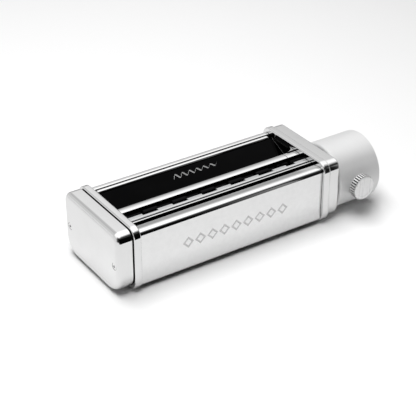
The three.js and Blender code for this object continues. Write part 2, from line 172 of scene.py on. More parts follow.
class Wiring:
    """Adds nodes to a tree and links them, so a finish reads as a list of steps."""

    def __init__(self, tree):
        self.tree = tree

    def node(self, kind, **values):
        made = self.tree.nodes.new(kind)
        for name, value in values.items():
            setattr(made, name, value)
        return made

    def put(self, socket, value):
        if isinstance(value, bpy.types.NodeSocket):
            self.tree.links.new(value, socket)
        else:
            socket.default_value = value

    def math(self, operation, a, b=0.0, clamp=False):
        made = self.node("ShaderNodeMath", operation=operation, use_clamp=clamp)
        self.put(made.inputs[0], a)
        self.put(made.inputs[1], b)
        return made.outputs[0]

    def noise(self, vector, scale, detail=3.0, roughness=0.5):
        made = self.node("ShaderNodeTexNoise")
        self.put(made.inputs["Vector"], vector)
        self.put(made.inputs["Scale"], scale)
        self.put(made.inputs["Detail"], detail)
        self.put(made.inputs["Roughness"], roughness)
        return made.outputs["Fac"]

    def stretch(self, vector, scale):
        made = self.node("ShaderNodeMapping")
        self.put(made.inputs["Vector"], vector)
        self.put(made.inputs["Scale"], scale)
        return made.outputs["Vector"]

    def span(self, value, low, high, to_low=0.0, to_high=1.0):
        made = self.node("ShaderNodeMapRange", clamp=True)
        for socket, number in zip(made.inputs[:5], (value, low, high, to_low, to_high)):
            self.put(socket, number)
        return made.outputs["Result"]

    def mix(self, factor, a, b):
        made = self.node("ShaderNodeMix", data_type="RGBA", clamp_factor=True)
        self.put(made.inputs["Factor"], factor)
        self.put(made.inputs[6], a)
        self.put(made.inputs[7], b)
        return made.outputs[2]

    def bump(self, height, strength, distance):
        made = self.node("ShaderNodeBump")
        made.inputs["Strength"].default_value = strength
        made.inputs["Distance"].default_value = distance
        self.put(made.inputs["Height"], height)
        return made.outputs["Normal"]


def new_group(name, inputs, outputs):
    """An empty node group with named float sockets; returns its wiring, inputs and output node."""
    tree = bpy.data.node_groups.new(name, "ShaderNodeTree")
    for label, default in inputs:
        socket = tree.interface.new_socket(name=label, in_out="INPUT", socket_type="NodeSocketFloat")
        socket.default_value = default
    for label in outputs:
        tree.interface.new_socket(name=label, in_out="OUTPUT", socket_type="NodeSocketFloat")
    wires = Wiring(tree)
    entry = wires.node("NodeGroupInput")
    leave = wires.node("NodeGroupOutput")
    place = wires.node("ShaderNodeTexCoord").outputs["Object"]
    return tree, wires, entry.outputs, leave.inputs, place


def smudge_group():
    """Wiped fingerprints and haze: broad soft patches crossed by finer streaks."""
    inputs = [("Patch Size", 30.0), ("Streak Size", 220.0), ("Amount", 1.0)]
    tree, w, given, out, place = new_group("Wiped Smudges", inputs, ["Mask"])
    patches = w.span(w.noise(place, given["Patch Size"], 4.0, 0.55), 0.46, 0.68)
    streaks = w.noise(w.stretch(place, (0.22, 1.0, 0.7)), given["Streak Size"], 3.0, 0.6)
    mask = w.math("MULTIPLY", patches, streaks)
    w.put(out["Mask"], w.math("MULTIPLY", mask, given["Amount"], clamp=True))
    return tree


def scratch_group():
    """Hairline scratches from washing and wiping, in two crossing directions."""
    inputs = [("Density", 900.0), ("Threshold", 0.70)]
    tree, w, given, out, place = new_group("Hairline Scratches", inputs, ["Mask"])
    along = w.noise(w.stretch(place, (0.035, 1.0, 1.0)), given["Density"], 2.0, 0.5)
    across = w.noise(w.stretch(place, (1.0, 0.05, 0.045)), given["Density"], 2.0, 0.5)
    lines = w.math("MAXIMUM", along, across)
    w.put(out["Mask"], w.span(lines, given["Threshold"], 0.82))
    return tree


def brushed_group():
    """Fine parallel grinding lines that run along x, for sheet and bar stock."""
    inputs = [("Fineness", 2600.0), ("Along", 0.02)]
    tree, w, given, out, place = new_group("Ground Lines", inputs, ["Lines", "Tone"])
    axis = w.node("ShaderNodeCombineXYZ")
    w.put(axis.inputs[0], given["Along"])
    axis.inputs[1].default_value = 1.0
    axis.inputs[2].default_value = 1.0
    scaled = w.node("ShaderNodeVectorMath", operation="MULTIPLY")
    w.put(scaled.inputs[0], place)
    w.put(scaled.inputs[1], axis.outputs[0])
    w.put(out["Lines"], w.noise(scaled.outputs[0], given["Fineness"], 2.0, 0.7))
    w.put(out["Tone"], w.noise(place, 45.0, 3.0, 0.5))
    return tree


def turned_group():
    """Rings left by a lathe tool: lines across x, broken up a little round the piece."""
    tree, w, given, out, place = new_group("Turning Rings", [("Fineness", 3200.0)], ["Rings", "Tone"])
    scaled = w.stretch(place, (1.0, 0.012, 0.012))
    w.put(out["Rings"], w.noise(scaled, given["Fineness"], 3.0, 0.65))
    w.put(out["Tone"], w.noise(place, 60.0, 3.0, 0.5))
    return tree


def wear_group():
    """Brightened, rubbed corners where a piece is handled and knocked."""
    inputs = [("Low", 0.53), ("High", 0.60), ("Break Up", 320.0)]
    tree, w, given, out, place = new_group("Rubbed Edges", inputs, ["Mask"])
    point = w.node("ShaderNodeNewGeometry").outputs["Pointiness"]
    edge = w.span(point, given["Low"], given["High"])
    broken = w.span(w.noise(place, given["Break Up"], 3.0, 0.6), 0.35, 0.65, 0.25, 1.0)
    w.put(out["Mask"], w.math("MULTIPLY", edge, broken))
    return tree


GROUP_MAKERS = {
    "Wiped Smudges": smudge_group,
    "Hairline Scratches": scratch_group,
    "Ground Lines": brushed_group,
    "Turning Rings": turned_group,
    "Rubbed Edges": wear_group,
}


def group(w, name, **given):
    """Places a shared node group, making it the first time, with its own values."""
    tree = bpy.data.node_groups.get(name) or GROUP_MAKERS[name]()
    made = w.node("ShaderNodeGroup", node_tree=tree)
    for label, value in given.items():
        w.put(made.inputs[label.replace("_", " ")], value)
    return made.outputs


# ---- finishes ----------------------------------------------------------------------------------


def start_finish(name):
    """A new metal; returns it with its wiring, its shader and the place on the piece."""
    material = bpy.data.materials.new(name)
    material.use_nodes = True
    w = Wiring(material.node_tree)
    shader = material.node_tree.nodes["Principled BSDF"]
    shader.inputs["Metallic"].default_value = 1.0
    place = w.node("ShaderNodeTexCoord").outputs["Object"]
    return material, w, shader, place


def rgba(tint, gain=1.0):
    return (tint[0] * gain, tint[1] * gain, tint[2] * gain, 1.0)


def chrome_finish():
    """Bright chrome: mirror gloss, wiped haze, hairlines and the sheet's faint waviness."""
    material, w, shader, place = start_finish("bright_chrome")
    tint = colours().chrome
    smudge = group(w, "Wiped Smudges", Patch_Size=26.0, Streak_Size=240.0, Amount=1.0)
    hair = group(w, "Hairline Scratches", Density=1100.0, Threshold=0.69)
    rub = group(w, "Rubbed Edges", Low=0.56, High=0.66, Break_Up=300.0)
    clean = w.mix(smudge["Mask"], rgba(tint), rgba(tint, 0.93))
    w.put(shader.inputs["Base Color"], w.mix(rub["Mask"], clean, rgba(tint, 1.08)))
    haze = w.span(smudge["Mask"], 0.0, 0.6, 0.03, 0.09)
    w.put(shader.inputs["Roughness"], w.math("ADD", haze, w.math("MULTIPLY", hair["Mask"], 0.05)))
    wave = w.noise(place, 34.0, 1.0, 0.4)
    height = w.math("ADD", wave, w.math("MULTIPLY", hair["Mask"], 0.003))
    w.put(shader.inputs["Normal"], w.bump(height, 0.20, 0.0002))
    return material


def satin_finish(name, gain, rough):
    """Satin anodised aluminium with lathe rings and a few rubbed spots."""
    material, w, shader, place = start_finish(name)
    tint = [channel * gain for channel in colours().satin]
    rings = group(w, "Turning Rings", Fineness=3000.0)
    smudge = group(w, "Wiped Smudges", Patch_Size=22.0, Streak_Size=180.0, Amount=1.0)
    rub = group(w, "Rubbed Edges", Low=0.54, High=0.64, Break_Up=350.0)
    shader.inputs["Metallic"].default_value = 0.45
    body = w.mix(rings["Tone"], rgba(tint, 0.95), rgba(tint, 1.03))
    handled = w.mix(w.math("MULTIPLY", smudge["Mask"], 0.8), body, rgba(tint, 0.90))
    w.put(shader.inputs["Base Color"], w.mix(rub["Mask"], handled, rgba(tint, 1.15)))
    dull = w.span(rings["Rings"], 0.3, 0.7, *rough)
    w.put(shader.inputs["Roughness"], w.math("SUBTRACT", dull, w.math("MULTIPLY", rub["Mask"], 0.12)))
    blast = w.noise(place, 2200.0, 2.0, 0.6)
    height = w.math("ADD", rings["Rings"], w.math("MULTIPLY", blast, 0.6))
    w.put(shader.inputs["Normal"], w.bump(height, 0.22, 0.00005))
    return material


def steel_finish():
    """Ground stainless: lines along the stock and rubbed corners."""
    material, w, shader, _ = start_finish("ground_steel")
    tint = colours().steel
    lines = group(w, "Ground Lines", Fineness=2400.0, Along=0.02)
    rub = group(w, "Rubbed Edges", Low=0.53, High=0.62, Break_Up=400.0)
    tone = w.mix(lines["Tone"], rgba(tint, 0.88), rgba(tint, 1.04))
    w.put(shader.inputs["Base Color"], w.mix(rub["Mask"], tone, rgba(tint, 1.25)))
    w.put(shader.inputs["Roughness"], w.span(lines["Lines"], 0.3, 0.7, 0.22, 0.36))
    w.put(shader.inputs["Normal"], w.bump(lines["Lines"], 0.20, 0.00004))
    return material


def shaded_turned_steel_finish():
    """Turned and polished steel of the rollers and shafts, tinted near black as painted shade inside the
    housing.
    """
    material, w, shader, place = start_finish("shaded_turned_steel")
    tint = colours().roller_shade
    rings = group(w, "Turning Rings", Fineness=2600.0)
    rub = group(w, "Rubbed Edges", Low=0.53, High=0.62, Break_Up=400.0)
    flour = w.span(w.noise(place, 380.0, 5.0, 0.7), 0.66, 0.74)
    tone = w.mix(rings["Tone"], rgba(tint, 0.85), rgba(tint, 1.05))
    w.put(shader.inputs["Base Color"], w.mix(rub["Mask"], tone, rgba(tint, 1.25)))
    rough = w.span(rings["Rings"], 0.3, 0.7, 0.16, 0.30)
    w.put(shader.inputs["Roughness"], w.math("ADD", rough, w.math("MULTIPLY", flour, 0.2)))
    w.put(shader.inputs["Normal"], w.bump(rings["Rings"], 0.18, 0.00004))
    return material


def guide_shade_finish():
    """Polished guide plate tinted near black as painted shade, with wiped smudges and hairlines."""
    material, w, shader, _ = start_finish("dark_polish")
    tint = colours().dark
    smudge = group(w, "Wiped Smudges", Patch_Size=40.0, Streak_Size=300.0, Amount=0.8)
    hair = group(w, "Hairline Scratches", Density=1300.0, Threshold=0.70)
    w.put(shader.inputs["Base Color"], w.mix(smudge["Mask"], rgba(tint), rgba(tint, 1.8)))
    rough = w.span(smudge["Mask"], 0.0, 0.7, 0.06, 0.16)
    w.put(shader.inputs["Roughness"], w.math("ADD", rough, w.math("MULTIPLY", hair["Mask"], 0.1)))
    w.put(shader.inputs["Normal"], w.bump(hair["Mask"], 0.05, 0.00002))
    return material


def etched_finish(name, tint, rough):
    """Frosted, etched metal of the small ornaments."""
    material, w, shader, place = start_finish(name)
    frost = w.noise(place, 5200.0, 3.0, 0.7)
    tone = w.noise(place, 160.0, 3.0, 0.5)
    w.put(shader.inputs["Base Color"], w.mix(tone, rgba(tint, 0.9), rgba(tint, 1.08)))
    w.put(shader.inputs["Roughness"], w.span(frost, 0.3, 0.7, rough - 0.08, rough + 0.08))
    w.put(shader.inputs["Normal"], w.bump(frost, 0.25, 0.00003))
    return material


def bronze_finish():
    """Oil-soaked sintered bronze."""
    material, w, shader, place = start_finish("oiled_bronze")
    tint = colours().bronze
    pores = w.noise(place, 3600.0, 4.0, 0.7)
    oil = w.noise(place, 240.0, 3.0, 0.6)
    w.put(shader.inputs["Base Color"], w.mix(oil, rgba(tint, 0.75), rgba(tint, 1.1)))
    w.put(shader.inputs["Roughness"], w.span(oil, 0.3, 0.7, 0.28, 0.46))
    w.put(shader.inputs["Normal"], w.bump(pores, 0.3, 0.00004))
    return material


def sintered_finish():
    """Dull sintered gear steel under a film of grease."""
    material, w, shader, place = start_finish("greased_gear_steel")
    tint = colours().sintered
    grain = w.noise(place, 2800.0, 4.0, 0.7)
    grease = w.span(w.noise(place, 120.0, 4.0, 0.6), 0.42, 0.62)
    w.put(shader.inputs["Base Color"], w.mix(grease, rgba(tint), rgba(tint, 0.6)))
    w.put(shader.inputs["Roughness"], w.span(grease, 0.0, 1.0, 0.52, 0.24))
    w.put(shader.inputs["Normal"], w.bump(grain, 0.3, 0.00005))
    return material


def painted_shade_finish():
    """Near-black steel with faint grinding lines, painted on flanks, hollows and gaps as the shade that falls
    there.
    """
    material, w, shader, _ = start_finish("painted_shade_flank")
    tint = colours().roller_shade
    lines = group(w, "Ground Lines", Fineness=1500.0, Along=0.03)
    w.put(shader.inputs["Base Color"], w.mix(lines["Tone"], rgba(tint, 0.3), rgba(tint, 0.7)))
    w.put(shader.inputs["Roughness"], w.span(lines["Lines"], 0.3, 0.7, 0.40, 0.55))
    w.put(shader.inputs["Normal"], w.bump(lines["Lines"], 0.15, 0.00004))
    return material


FINISHES = {
    # painted shade: near-black finish for flanks, hollows and gaps
    "painted_shade": painted_shade_finish,
    "chrome": chrome_finish,
    "satin": lambda: satin_finish("satin_aluminium", 1.0, (0.50, 0.60)),
    "satin_knob": lambda: satin_finish("satin_knob", 1.06, (0.26, 0.34)),
    # painted shade: satin darkened to an eighth on the floors of the knurl's grooves
    "satin_groove_shade": lambda: satin_finish("satin_groove_shade", 0.12, (0.40, 0.50)),
    "steel": steel_finish,
    # turned: near-black tint, painted shade on the rollers and shafts
    "turned": shaded_turned_steel_finish,
    # dark: near-black guide plate, painted shade with real smudges and hairlines
    "dark": guide_shade_finish,
    "etch_light": lambda: etched_finish("etched_chrome", (0.54, 0.54, 0.54), 0.40),
    "etch_dark": lambda: etched_finish("etched_guide", (0.26, 0.26, 0.26), 0.5),
    "bronze": bronze_finish,
    "sintered": sintered_finish,
}
made_finishes = {}


def finish(name):
    if name not in made_finishes:
        made_finishes[name] = FINISHES[name]()
    return made_finishes[name]


# ---- mesh helpers: everything is built in millimetres from the machine's middle ----------------


def moved(bm, found, offset):
    bmesh.ops.translate(bm, verts=found, vec=offset)


def verts_in(result, key="geom"):
    return [g for g in result[key] if isinstance(g, bmesh.types.BMVert)]


def round_edges(bm, edges, radius, steps, clamp=True):
    if edges and radius > 0:
        bmesh.ops.bevel(
            bm,
            geom=edges,
            offset=radius,
            offset_type="OFFSET",
            segments=steps,
            profile=0.5,
            affect="EDGES",
            material=-1,
            clamp_overlap=clamp,
        )


def runs_along(edge, axis):
    a, b = edge.verts
    line = b.co - a.co
    return abs(line[axis]) > 0.999 * line.length


def block(low, high):
    """A box between two corners."""
    bm = bmesh.new()
    size = Vector(high) - Vector(low)
    bmesh.ops.create_cube(bm, size=1.0)
    bmesh.ops.scale(bm, vec=size, verts=bm.verts)
    moved(bm, bm.verts, (Vector(high) + Vector(low)) / 2)
    return bm


def edges_at(bm, axis, spot):
    """The edges that lie in one plane across an axis."""
    return [e for e in bm.edges if all(abs(v.co[axis] - spot) < NEAR for v in e.verts)]


def rounded_slab(low, high, top_radius, low_radius, rims, steps):
    """A box whose four long corners are rounded, then the rims given as (x, radius, steps)."""
    bm = block(low, high)
    for z, radius in ((high[2], top_radius), (low[2], low_radius)):
        round_edges(bm, [e for e in edges_at(bm, 2, z) if runs_along(e, 0)], radius, steps)
    for x, radius, rim_steps in rims:
        round_edges(bm, edges_at(bm, 0, x), radius, rim_steps, clamp=False)
    return bm


def bent_sheet(corners, x0, x1, thickness, steps):
    """Sheet folded along x: corners are (y, z, outer bend radius) down the sheet's outer face."""
    bm = bmesh.new()
    row = [bm.verts.new((x0, y, z)) for y, z, _ in corners]
    line = [bm.edges.new(pair) for pair in zip(row, row[1:])]
    moved(bm, verts_in(bmesh.ops.extrude_edge_only(bm, edges=line)), (x1 - x0, 0, 0))
    round_bends(bm, corners, steps)
    wall(bm, thickness)
    return bm


def round_bends(bm, corners, steps):
    """Rounds each fold of an open sheet that has a bend radius."""
    for before, here, after in zip(corners, corners[1:], corners[2:]):
        if here[2] <= 0:
            continue
        into = Vector((here[0] - before[0], here[1] - before[1])).normalized()
        out = Vector((after[0] - here[0], after[1] - here[1])).normalized()
        reach = here[2] * math.tan(into.angle(out) / 2)
        spot = Vector(here[:2])
        folds = [e for e in bm.edges if runs_along(e, 0) and (e.verts[0].co.yz - spot).length < NEAR]
        round_edges(bm, folds, reach, steps)


def wall(bm, thickness):
    """Gives an open sheet its thickness, inwards from its outer face."""
    bmesh.ops.recalc_face_normals(bm, faces=bm.faces)
    bmesh.ops.solidify(bm, geom=bm.faces[:], thickness=thickness)
    bmesh.ops.recalc_face_normals(bm, faces=bm.faces)


def angles(start, end, steps):
    """Evenly spaced angles in radians between two given in degrees."""
    return [math.radians(start + (end - start) * i / steps) for i in range(steps + 1)]


def arc(centre, radius, start, end, steps):
    """Points of an arc in degrees, as (a, b) pairs."""
    a, b = centre
    return [(a + radius * math.cos(t), b + radius * math.sin(t)) for t in angles(start, end, steps)]


def drawn_out(points, offset):
    """A closed outline of points in space drawn out by an offset."""
    bm = bmesh.new()
    face = bm.faces.new([bm.verts.new(point) for point in points])
    moved(bm, verts_in(bmesh.ops.extrude_face_region(bm, geom=[face])), offset)
    bmesh.ops.recalc_face_normals(bm, faces=bm.faces)
    return bm


def extruded(outline, x0, x1):
    """A closed (y, z) outline drawn out along x."""
    return drawn_out([(x0, y, z) for y, z in outline], (x1 - x0, 0, 0))


def flat_shape(outline, z0, z1):
    """A closed (x, y) outline drawn out upwards."""
    return drawn_out([(x, y, z0) for x, y in outline], (0, 0, z1 - z0))


def turned(profile, axis, steps=None):
    """(x, radius) points spun round the x-parallel axis at (y, z); a profile off the axis makes a ring."""
    bm = bmesh.new()
    points = [bm.verts.new((x, axis[0], axis[1] + r)) for x, r in profile]
    edges = [bm.edges.new(pair) for pair in zip(points, points[1:])]
    if min(r for _, r in profile) > 1e-6:
        edges.append(bm.edges.new((points[-1], points[0])))
    bmesh.ops.spin(
        bm,
        geom=points + edges,
        cent=(0, axis[0], axis[1]),
        axis=(1, 0, 0),
        dvec=(0, 0, 0),
        angle=math.tau,
        steps=steps or counts().turn_steps,
        use_merge=True,
        use_duplicate=False,
    )
    bmesh.ops.remove_doubles(bm, verts=bm.verts, dist=NEAR)
    bmesh.ops.recalc_face_normals(bm, faces=bm.faces)
    return bm


def to_clamp_axis(bm):
    """Turns a piece built round the x axis at y = z = 0 to the thumbscrew's axis, its +x outwards."""
    bmesh.ops.rotate(bm, verts=bm.verts, cent=(0, 0, 0), matrix=Matrix.Rotation(-math.pi / 2, 3, "Z"))
    moved(bm, bm.verts, (CLAMP_X, 0, CLAMP_Z))
    return bm


def tube_profile(x0, x1, bore, radius, ease):
    """A ring's outline whose outer edges are broken."""
    outer = [(x0, radius - ease), (x0 + ease, radius), (x1 - ease, radius), (x1, radius - ease)]
    return [(x0, bore), *outer, (x1, bore)]


def rod_profile(x0, x1, radius, ease=0.4):
    return tube_profile(x0, x1, 0, radius, ease)


def merged(*parts):
    """Several meshes as one."""
    whole = bmesh.new()
    for part in parts:
        scratch = bpy.data.meshes.new("scratch")
        part.to_mesh(scratch)
        part.free()
        whole.from_mesh(scratch)
        bpy.data.meshes.remove(scratch)
    return whole


def plain_object(name, bm):
    mesh = bpy.data.meshes.new(name)
    bm.to_mesh(mesh)
    bm.free()
    made = bpy.data.objects.new(name, mesh)
    bpy.context.scene.collection.objects.link(made)
    return made


def carved(bm, cutters, operation="DIFFERENCE"):
    """The mesh with each cutter taken away from it, or joined to it by "UNION", as a new mesh."""
    body = plain_object("carving", bm)
    tools = [plain_object(f"carver_{i}", cutter) for i, cutter in enumerate(cutters)]
    for tool in tools:
        step = body.modifiers.new("carve", "BOOLEAN")
        step.object = tool
        step.operation = operation
        step.solver = "EXACT"
    bpy.context.view_layer.update()
    done = bpy.data.meshes.new_from_object(body.evaluated_get(bpy.context.evaluated_depsgraph_get()))
    result = bmesh.new()
    result.from_mesh(done)
    for made in [body, *tools]:
        mesh = made.data
        bpy.data.objects.remove(made)
        bpy.data.meshes.remove(mesh)
    bpy.data.meshes.remove(done)
    bmesh.ops.remove_doubles(result, verts=result.verts, dist=NEAR)
    return result


def settle(bm):
    """Moves a mesh from millimetres round the machine's middle to its place in the frame."""
    bmesh.ops.scale(bm, vec=(MM, MM, MM), verts=bm.verts)
    moved(bm, bm.verts, MIDDLE)


def piece(name, bm, slot, finish_name, *nodes, body="housing", sharp=35.0):
    """Settles a mesh into the frame, shades it, gives it its body and finish, and hides the nodes it stands
    in for; slot is not used.
    """
    bmesh.ops.remove_doubles(bm, verts=bm.verts, dist=NEAR)
    settle(bm)
    for face in bm.faces:
        face.smooth = True
    made = plain_object(name, bm)
    made.data.set_sharp_from_angle(angle=math.radians(sharp))
    weighted = made.modifiers.new("even_normals", "WEIGHTED_NORMAL")
    weighted.keep_sharp = True
    weighted.weight = 80
    made.data.materials.append(finish(finish_name))
    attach(made, body)
    if nodes:
        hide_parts(*nodes)
    return made


def refinish(made, finish_name, chosen):
    """Gives the faces that `chosen` picks a second finish."""
    made.data.materials.append(finish(finish_name))
    for face in made.data.polygons:
        if chosen(face):
            face.material_index = 1


def upright(face):
    """True for a bar's front, back and underside."""
    return abs(face.normal.y) > 0.8 or face.normal.z < -0.5


def dress_node(node, finish_name):
    """Gives a CAD node that keeps its own shape its finish."""
    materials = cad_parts[node].data.materials
    materials.clear()
    materials.append(finish(finish_name))


def drill(radius, centre, x0, x1, steps=48):
    """A plain cylinder along x, for cutting holes."""
    return turned([(x0, 0), (x0, radius), (x1, radius), (x1, 0)], centre, steps)


# ---- housing -----------------------------------------------------------------------------------

SIDES = ("left", "right")
PLACES = ("front_low", "front_high", "rear_low", "rear_high")
BUSH_SEAT = 8.0
HOUSING_MID_Z = 25.2
UNDERTURN = 6.5  # how far both covers fold in under the housing
REAR_LIP = 6.3
SLOPE_TOP = (25.35, 44.15)  # y and z where the feed chute's slope turns up
RIM_Y, RIM_FOOT_Z = (25.15, 28.6), 43.2
SEAM_Y, SEAM_Z = (28.55, 29.9), (43.4, 45.4)
FLANK_OFF, FLANK_TOP_Z = 0.75, 45.0  # the end wall stands this far off the slope
BEAD = 0.3
CORNER_SWELL, CORNER_Z = 6.0, (43.6, 46.8)


class RIBBON_OT_end_plates(bpy.types.Operator):
    """Makes the two chromed end plates that carry the rollers"""

    bl_idname = "ribbon_cutter.end_plates"
    bl_label = "End plates"

    def execute(self, context):
        s = sizes()
        edge, top, foot = mm(s.plate_edge), mm(s.plate_top_radius), mm(s.plate_low_radius)
        for side in SIDES:
            low, high = node_box(f"{side}_end_plate")
            slab = rounded_slab(low, high, top, foot, [(low.x, edge, 5), (high.x, edge, 5)], 12)
            bores = [drill(BUSH_SEAT, axis, low.x - 1, high.x + 1) for axis in (FRONT_AXIS, REAR_AXIS)]
            piece(f"end_plate_{side}", carved(slab, bores), "chrome", "chrome", f"{side}_end_plate")
        return {"FINISHED"}


def hidden_skin(face):
    """True for a cover's bottom edge and for its inner skin, which looks to the housing's middle."""
    to_middle = Vector((0, MIDDLE.y - face.center.y, HOUSING_MID_Z * MM - face.center.z))
    return face.normal.dot(to_middle) > 0.004 or face.normal.z < -0.9


class RIBBON_OT_covers(bpy.types.Operator):
    """Folds the front and rear covers from chromed sheet"""

    bl_idname = "ribbon_cutter.covers"
    bl_label = "Covers"

    def execute(self, context):
        s = sizes()
        bend, sheet, drop = mm(s.cover_bend), mm(s.sheet), mm(s.cover_drop)
        y, low, top = FRONT_LOW.y, FRONT_LOW.z - drop, FRONT_HIGH.z
        front = [
            (y + UNDERTURN, low, 0),
            (y, low, bend),
            (y, top, bend),
            (y + 4.6, top - 0.02, 5.0),
            (y + 10.9, top - 1.40, 1.1),
            (y + 11.3, top - 5.0, 0),
        ]
        y, low, top = REAR_HIGH.y, REAR_LOW.z - drop, REAR_HIGH.z
        rear = [
            (y - UNDERTURN, low, 0),
            (y, low, bend),
            (y, top, bend),
            (y - REAR_LIP, top, 1.3),
            (y - REAR_LIP, top - 3.8, 0),
        ]
        for side, path in (("front", front), ("rear", rear)):
            low, high = node_box(f"{side}_cover")
            cover = bent_sheet(path, low.x, high.x, sheet, counts().bend_steps)
            made = piece(f"{side}_cover_sheet", cover, "chrome", "chrome", f"{side}_cover")
            # painted shade: the inner skin and bottom edge get the near-black finish
            refinish(made, "painted_shade", hidden_skin)
        return {"FINISHED"}


class RIBBON_OT_guide_plate(bpy.types.Operator):
    """Makes the polished guide plate, tinted near black as painted shade, with its bright folded rim"""

    bl_idname = "ribbon_cutter.guide_plate"
    bl_label = "Guide plate"

    def execute(self, context):
        low, high = node_box("guide_plate")
        path = [(low.y, low.z, 0), (*SLOPE_TOP, 0.8), (25.6, 45.1, 0)]
        slope = bent_sheet(path, low.x, high.x, mm(sizes().guide_sheet), 4)
        # painted shade: the slope is near black
        piece("guide_slope", slope, "dark_polish", "dark", "guide_plate")
        rim = block((low.x + 2.4, RIM_Y[0], RIM_FOOT_Z), (high.x - 2.8, RIM_Y[1], high.z))
        round_edges(rim, [e for e in rim.edges if runs_along(e, 2)], 1.6, 6)
        round_edges(rim, edges_at(rim, 2, high.z), 1.55, 7)
        piece("guide_rim", rim, "chrome", "chrome", "guide_plate")
        # painted shade: a near-black strip in the seam between the rim and the rear cover
        strip = block((low.x + 0.4, SEAM_Y[0], SEAM_Z[0]), (high.x - 0.4, SEAM_Y[1], SEAM_Z[1]))
        piece("rear_seam_strip", strip, "dark_polish", "painted_shade")
        self.close_far_end(low, high)
        return {"FINISHED"}

    def close_far_end(self, low, high):
        """The wall at the opening's right end, near black as painted shade, the fold at its foot and the
        rounded corner, whose sides are painted shade too.
        """
        run = Vector((SLOPE_TOP[0] - low.y, SLOPE_TOP[1] - low.z)).normalized()
        out = Vector((-run.y, run.x))
        start = Vector((low.y, low.z)) + out * FLANK_OFF
        end = Vector((25.0, 43.9)) + out * FLANK_OFF
        flank = [tuple(start), tuple(end), (end.x, FLANK_TOP_Z), (start.x, FLANK_TOP_Z)]
        wall_x = high.x - 0.35
        # painted shade: the end wall is near black
        piece("feed_end_wall", extruded(flank, wall_x, high.x - 0.05), "dark_polish", "painted_shade")
        bead = [tuple(v) for v in (start, end, end + out * BEAD, start + out * BEAD)]
        piece("feed_fold", extruded(bead, high.x - 0.65, wall_x), "satin_aluminium", "etch_dark")
        edge, swell = node_box("middle_bar")[1].y, CORNER_SWELL
        corner = [(high.x, edge), *arc((high.x - swell, edge + swell), swell, 0, -90, 12)]
        made = piece("feed_corner", flat_shape(corner, *CORNER_Z), "chrome", "chrome")
        # painted shade on the corner's upright sides
        refinish(made, "painted_shade", lambda face: abs(face.normal.z) < 0.5)


BAR_CROWN = 10.5  # radius of the middle bar's rounded top
BAR_SHOULDER = 0.95
BAR_SEAM_X, BAR_GAP = 65.2, 0.35


class RIBBON_OT_bars(bpy.types.Operator):
    """Makes the middle bar, its end piece and the comb bar"""

    bl_idname = "ribbon_cutter.bars"
    bl_label = "Bars"

    def execute(self, context):
        low, high = node_box("middle_bar")
        half = (high.y - low.y) / 2
        spread = math.degrees(math.asin((half - 0.35) / BAR_CROWN))
        centre = ((low.y + high.y) / 2, high.z - BAR_CROWN)
        outline = [(high.y, low.z), (high.y, high.z - BAR_SHOULDER)]
        outline += arc(centre, BAR_CROWN, 90 - spread, 90 + spread, 14)
        outline += [(low.y, high.z - BAR_SHOULDER), (low.y, low.z)]
        for name, x0, x1 in (("long", low.x, BAR_SEAM_X), ("end", BAR_SEAM_X + BAR_GAP, high.x)):
            # painted shade: the bar's front, back and underside are near black
            made = piece(f"middle_bar_{name}", extruded(outline, x0, x1), "chrome", "chrome", "middle_bar")
            refinish(made, "painted_shade", upright)
        low, high = node_box("comb_bar")
        bar = block((low.x, low.y + 0.3, low.z), (high.x, high.y + 0.2, high.z))
        round_edges(bar, [e for e in bar.edges if runs_along(e, 0)], 0.3, 4)
        # painted shade on the comb holder's front, back and underside
        refinish(piece("comb_holder", bar, "chrome", "chrome", "comb_bar"), "painted_shade", upright)
        return {"FINISHED"}


FINGER_CENTRES = (-68, -44, -20, 4, 28, 52)
FINGER_HALF = 5.9
LAST_FINGER = (65.5, 75.5)
COMB_FOOT_Z = 40.0
COMB_FOLD_Y = -16.9  # where the comb's fingers leave its solid strip
COMB_SHEET = 1.0


def grow(bm, edges, offset):
    """Draws a row of edges out by an offset; returns the new row."""
    made = bmesh.ops.extrude_edge_only(bm, edges=edges)
    moved(bm, verts_in(made), offset)
    return [g for g in made["geom"] if isinstance(g, bmesh.types.BMEdge) and runs_along(g, 0)]


class RIBBON_OT_combs(bpy.types.Operator):
    """Makes the combs whose fingers lie in the rollers' grooves"""

    bl_idname = "ribbon_cutter.combs"
    bl_label = "Combs"

    def execute(self, context):
        low, high = node_box("front_top_comb")
        fingers = [(x - FINGER_HALF, x + FINGER_HALF) for x in FINGER_CENTRES] + [LAST_FINGER]
        stops = sorted({low.x, high.x, *(x for finger in fingers for x in finger)})
        front = low.y + 1.4
        bm = bmesh.new()
        row = [bm.verts.new((x, front, COMB_FOOT_Z)) for x in stops]
        line = [bm.edges.new(pair) for pair in zip(row, row[1:])]
        line = grow(bm, line, (0, 0, high.z - COMB_FOOT_Z))
        line = grow(bm, line, (0, COMB_FOLD_Y - front, 0))

        def in_finger(edge):
            middle = (edge.verts[0].co.x + edge.verts[1].co.x) / 2
            return any(a - 1e-3 < middle < b + 1e-3 for a, b in fingers)

        inside = grow(bm, [e for e in line if in_finger(e)], (0, high.y - COMB_FOLD_Y, 0))
        grow(bm, inside, (0, 0, low.z - high.z))
        path = [
            (front, COMB_FOOT_Z, 0),
            (front, high.z, 1.5),
            (COMB_FOLD_Y, high.z, 0),
            (high.y, high.z, 0.9),
            (high.y, low.z, 0),
        ]
        round_bends(bm, path, 5)
        wall(bm, COMB_SHEET)
        # painted shade on the comb's front, back and underside
        refinish(piece("top_comb", bm, "steel", "steel", "front_top_comb"), "painted_shade", upright)
        for node in ("front_low_comb", "rear_low_comb"):
            dress_node(node, "steel")
        return {"FINISHED"}


LOZENGES, LOZENGE_FIRST_X, LOZENGE_STEP, LOZENGE_Z = 9, -38.0, 9.9, 25.2
LOZENGE_RADII = (4.5, 2.6)
ETCH_DEPTH = 0.03
RIBBON_LENGTH, RIBBON_STROKE, RIBBON_SWING, RIBBON_WAVES = 38.0, 0.75, 1.9, 40.0
RIBBON_X, RIBBON_UP = 3.4, 14.6  # the middle of the wave line: along x and up the slope


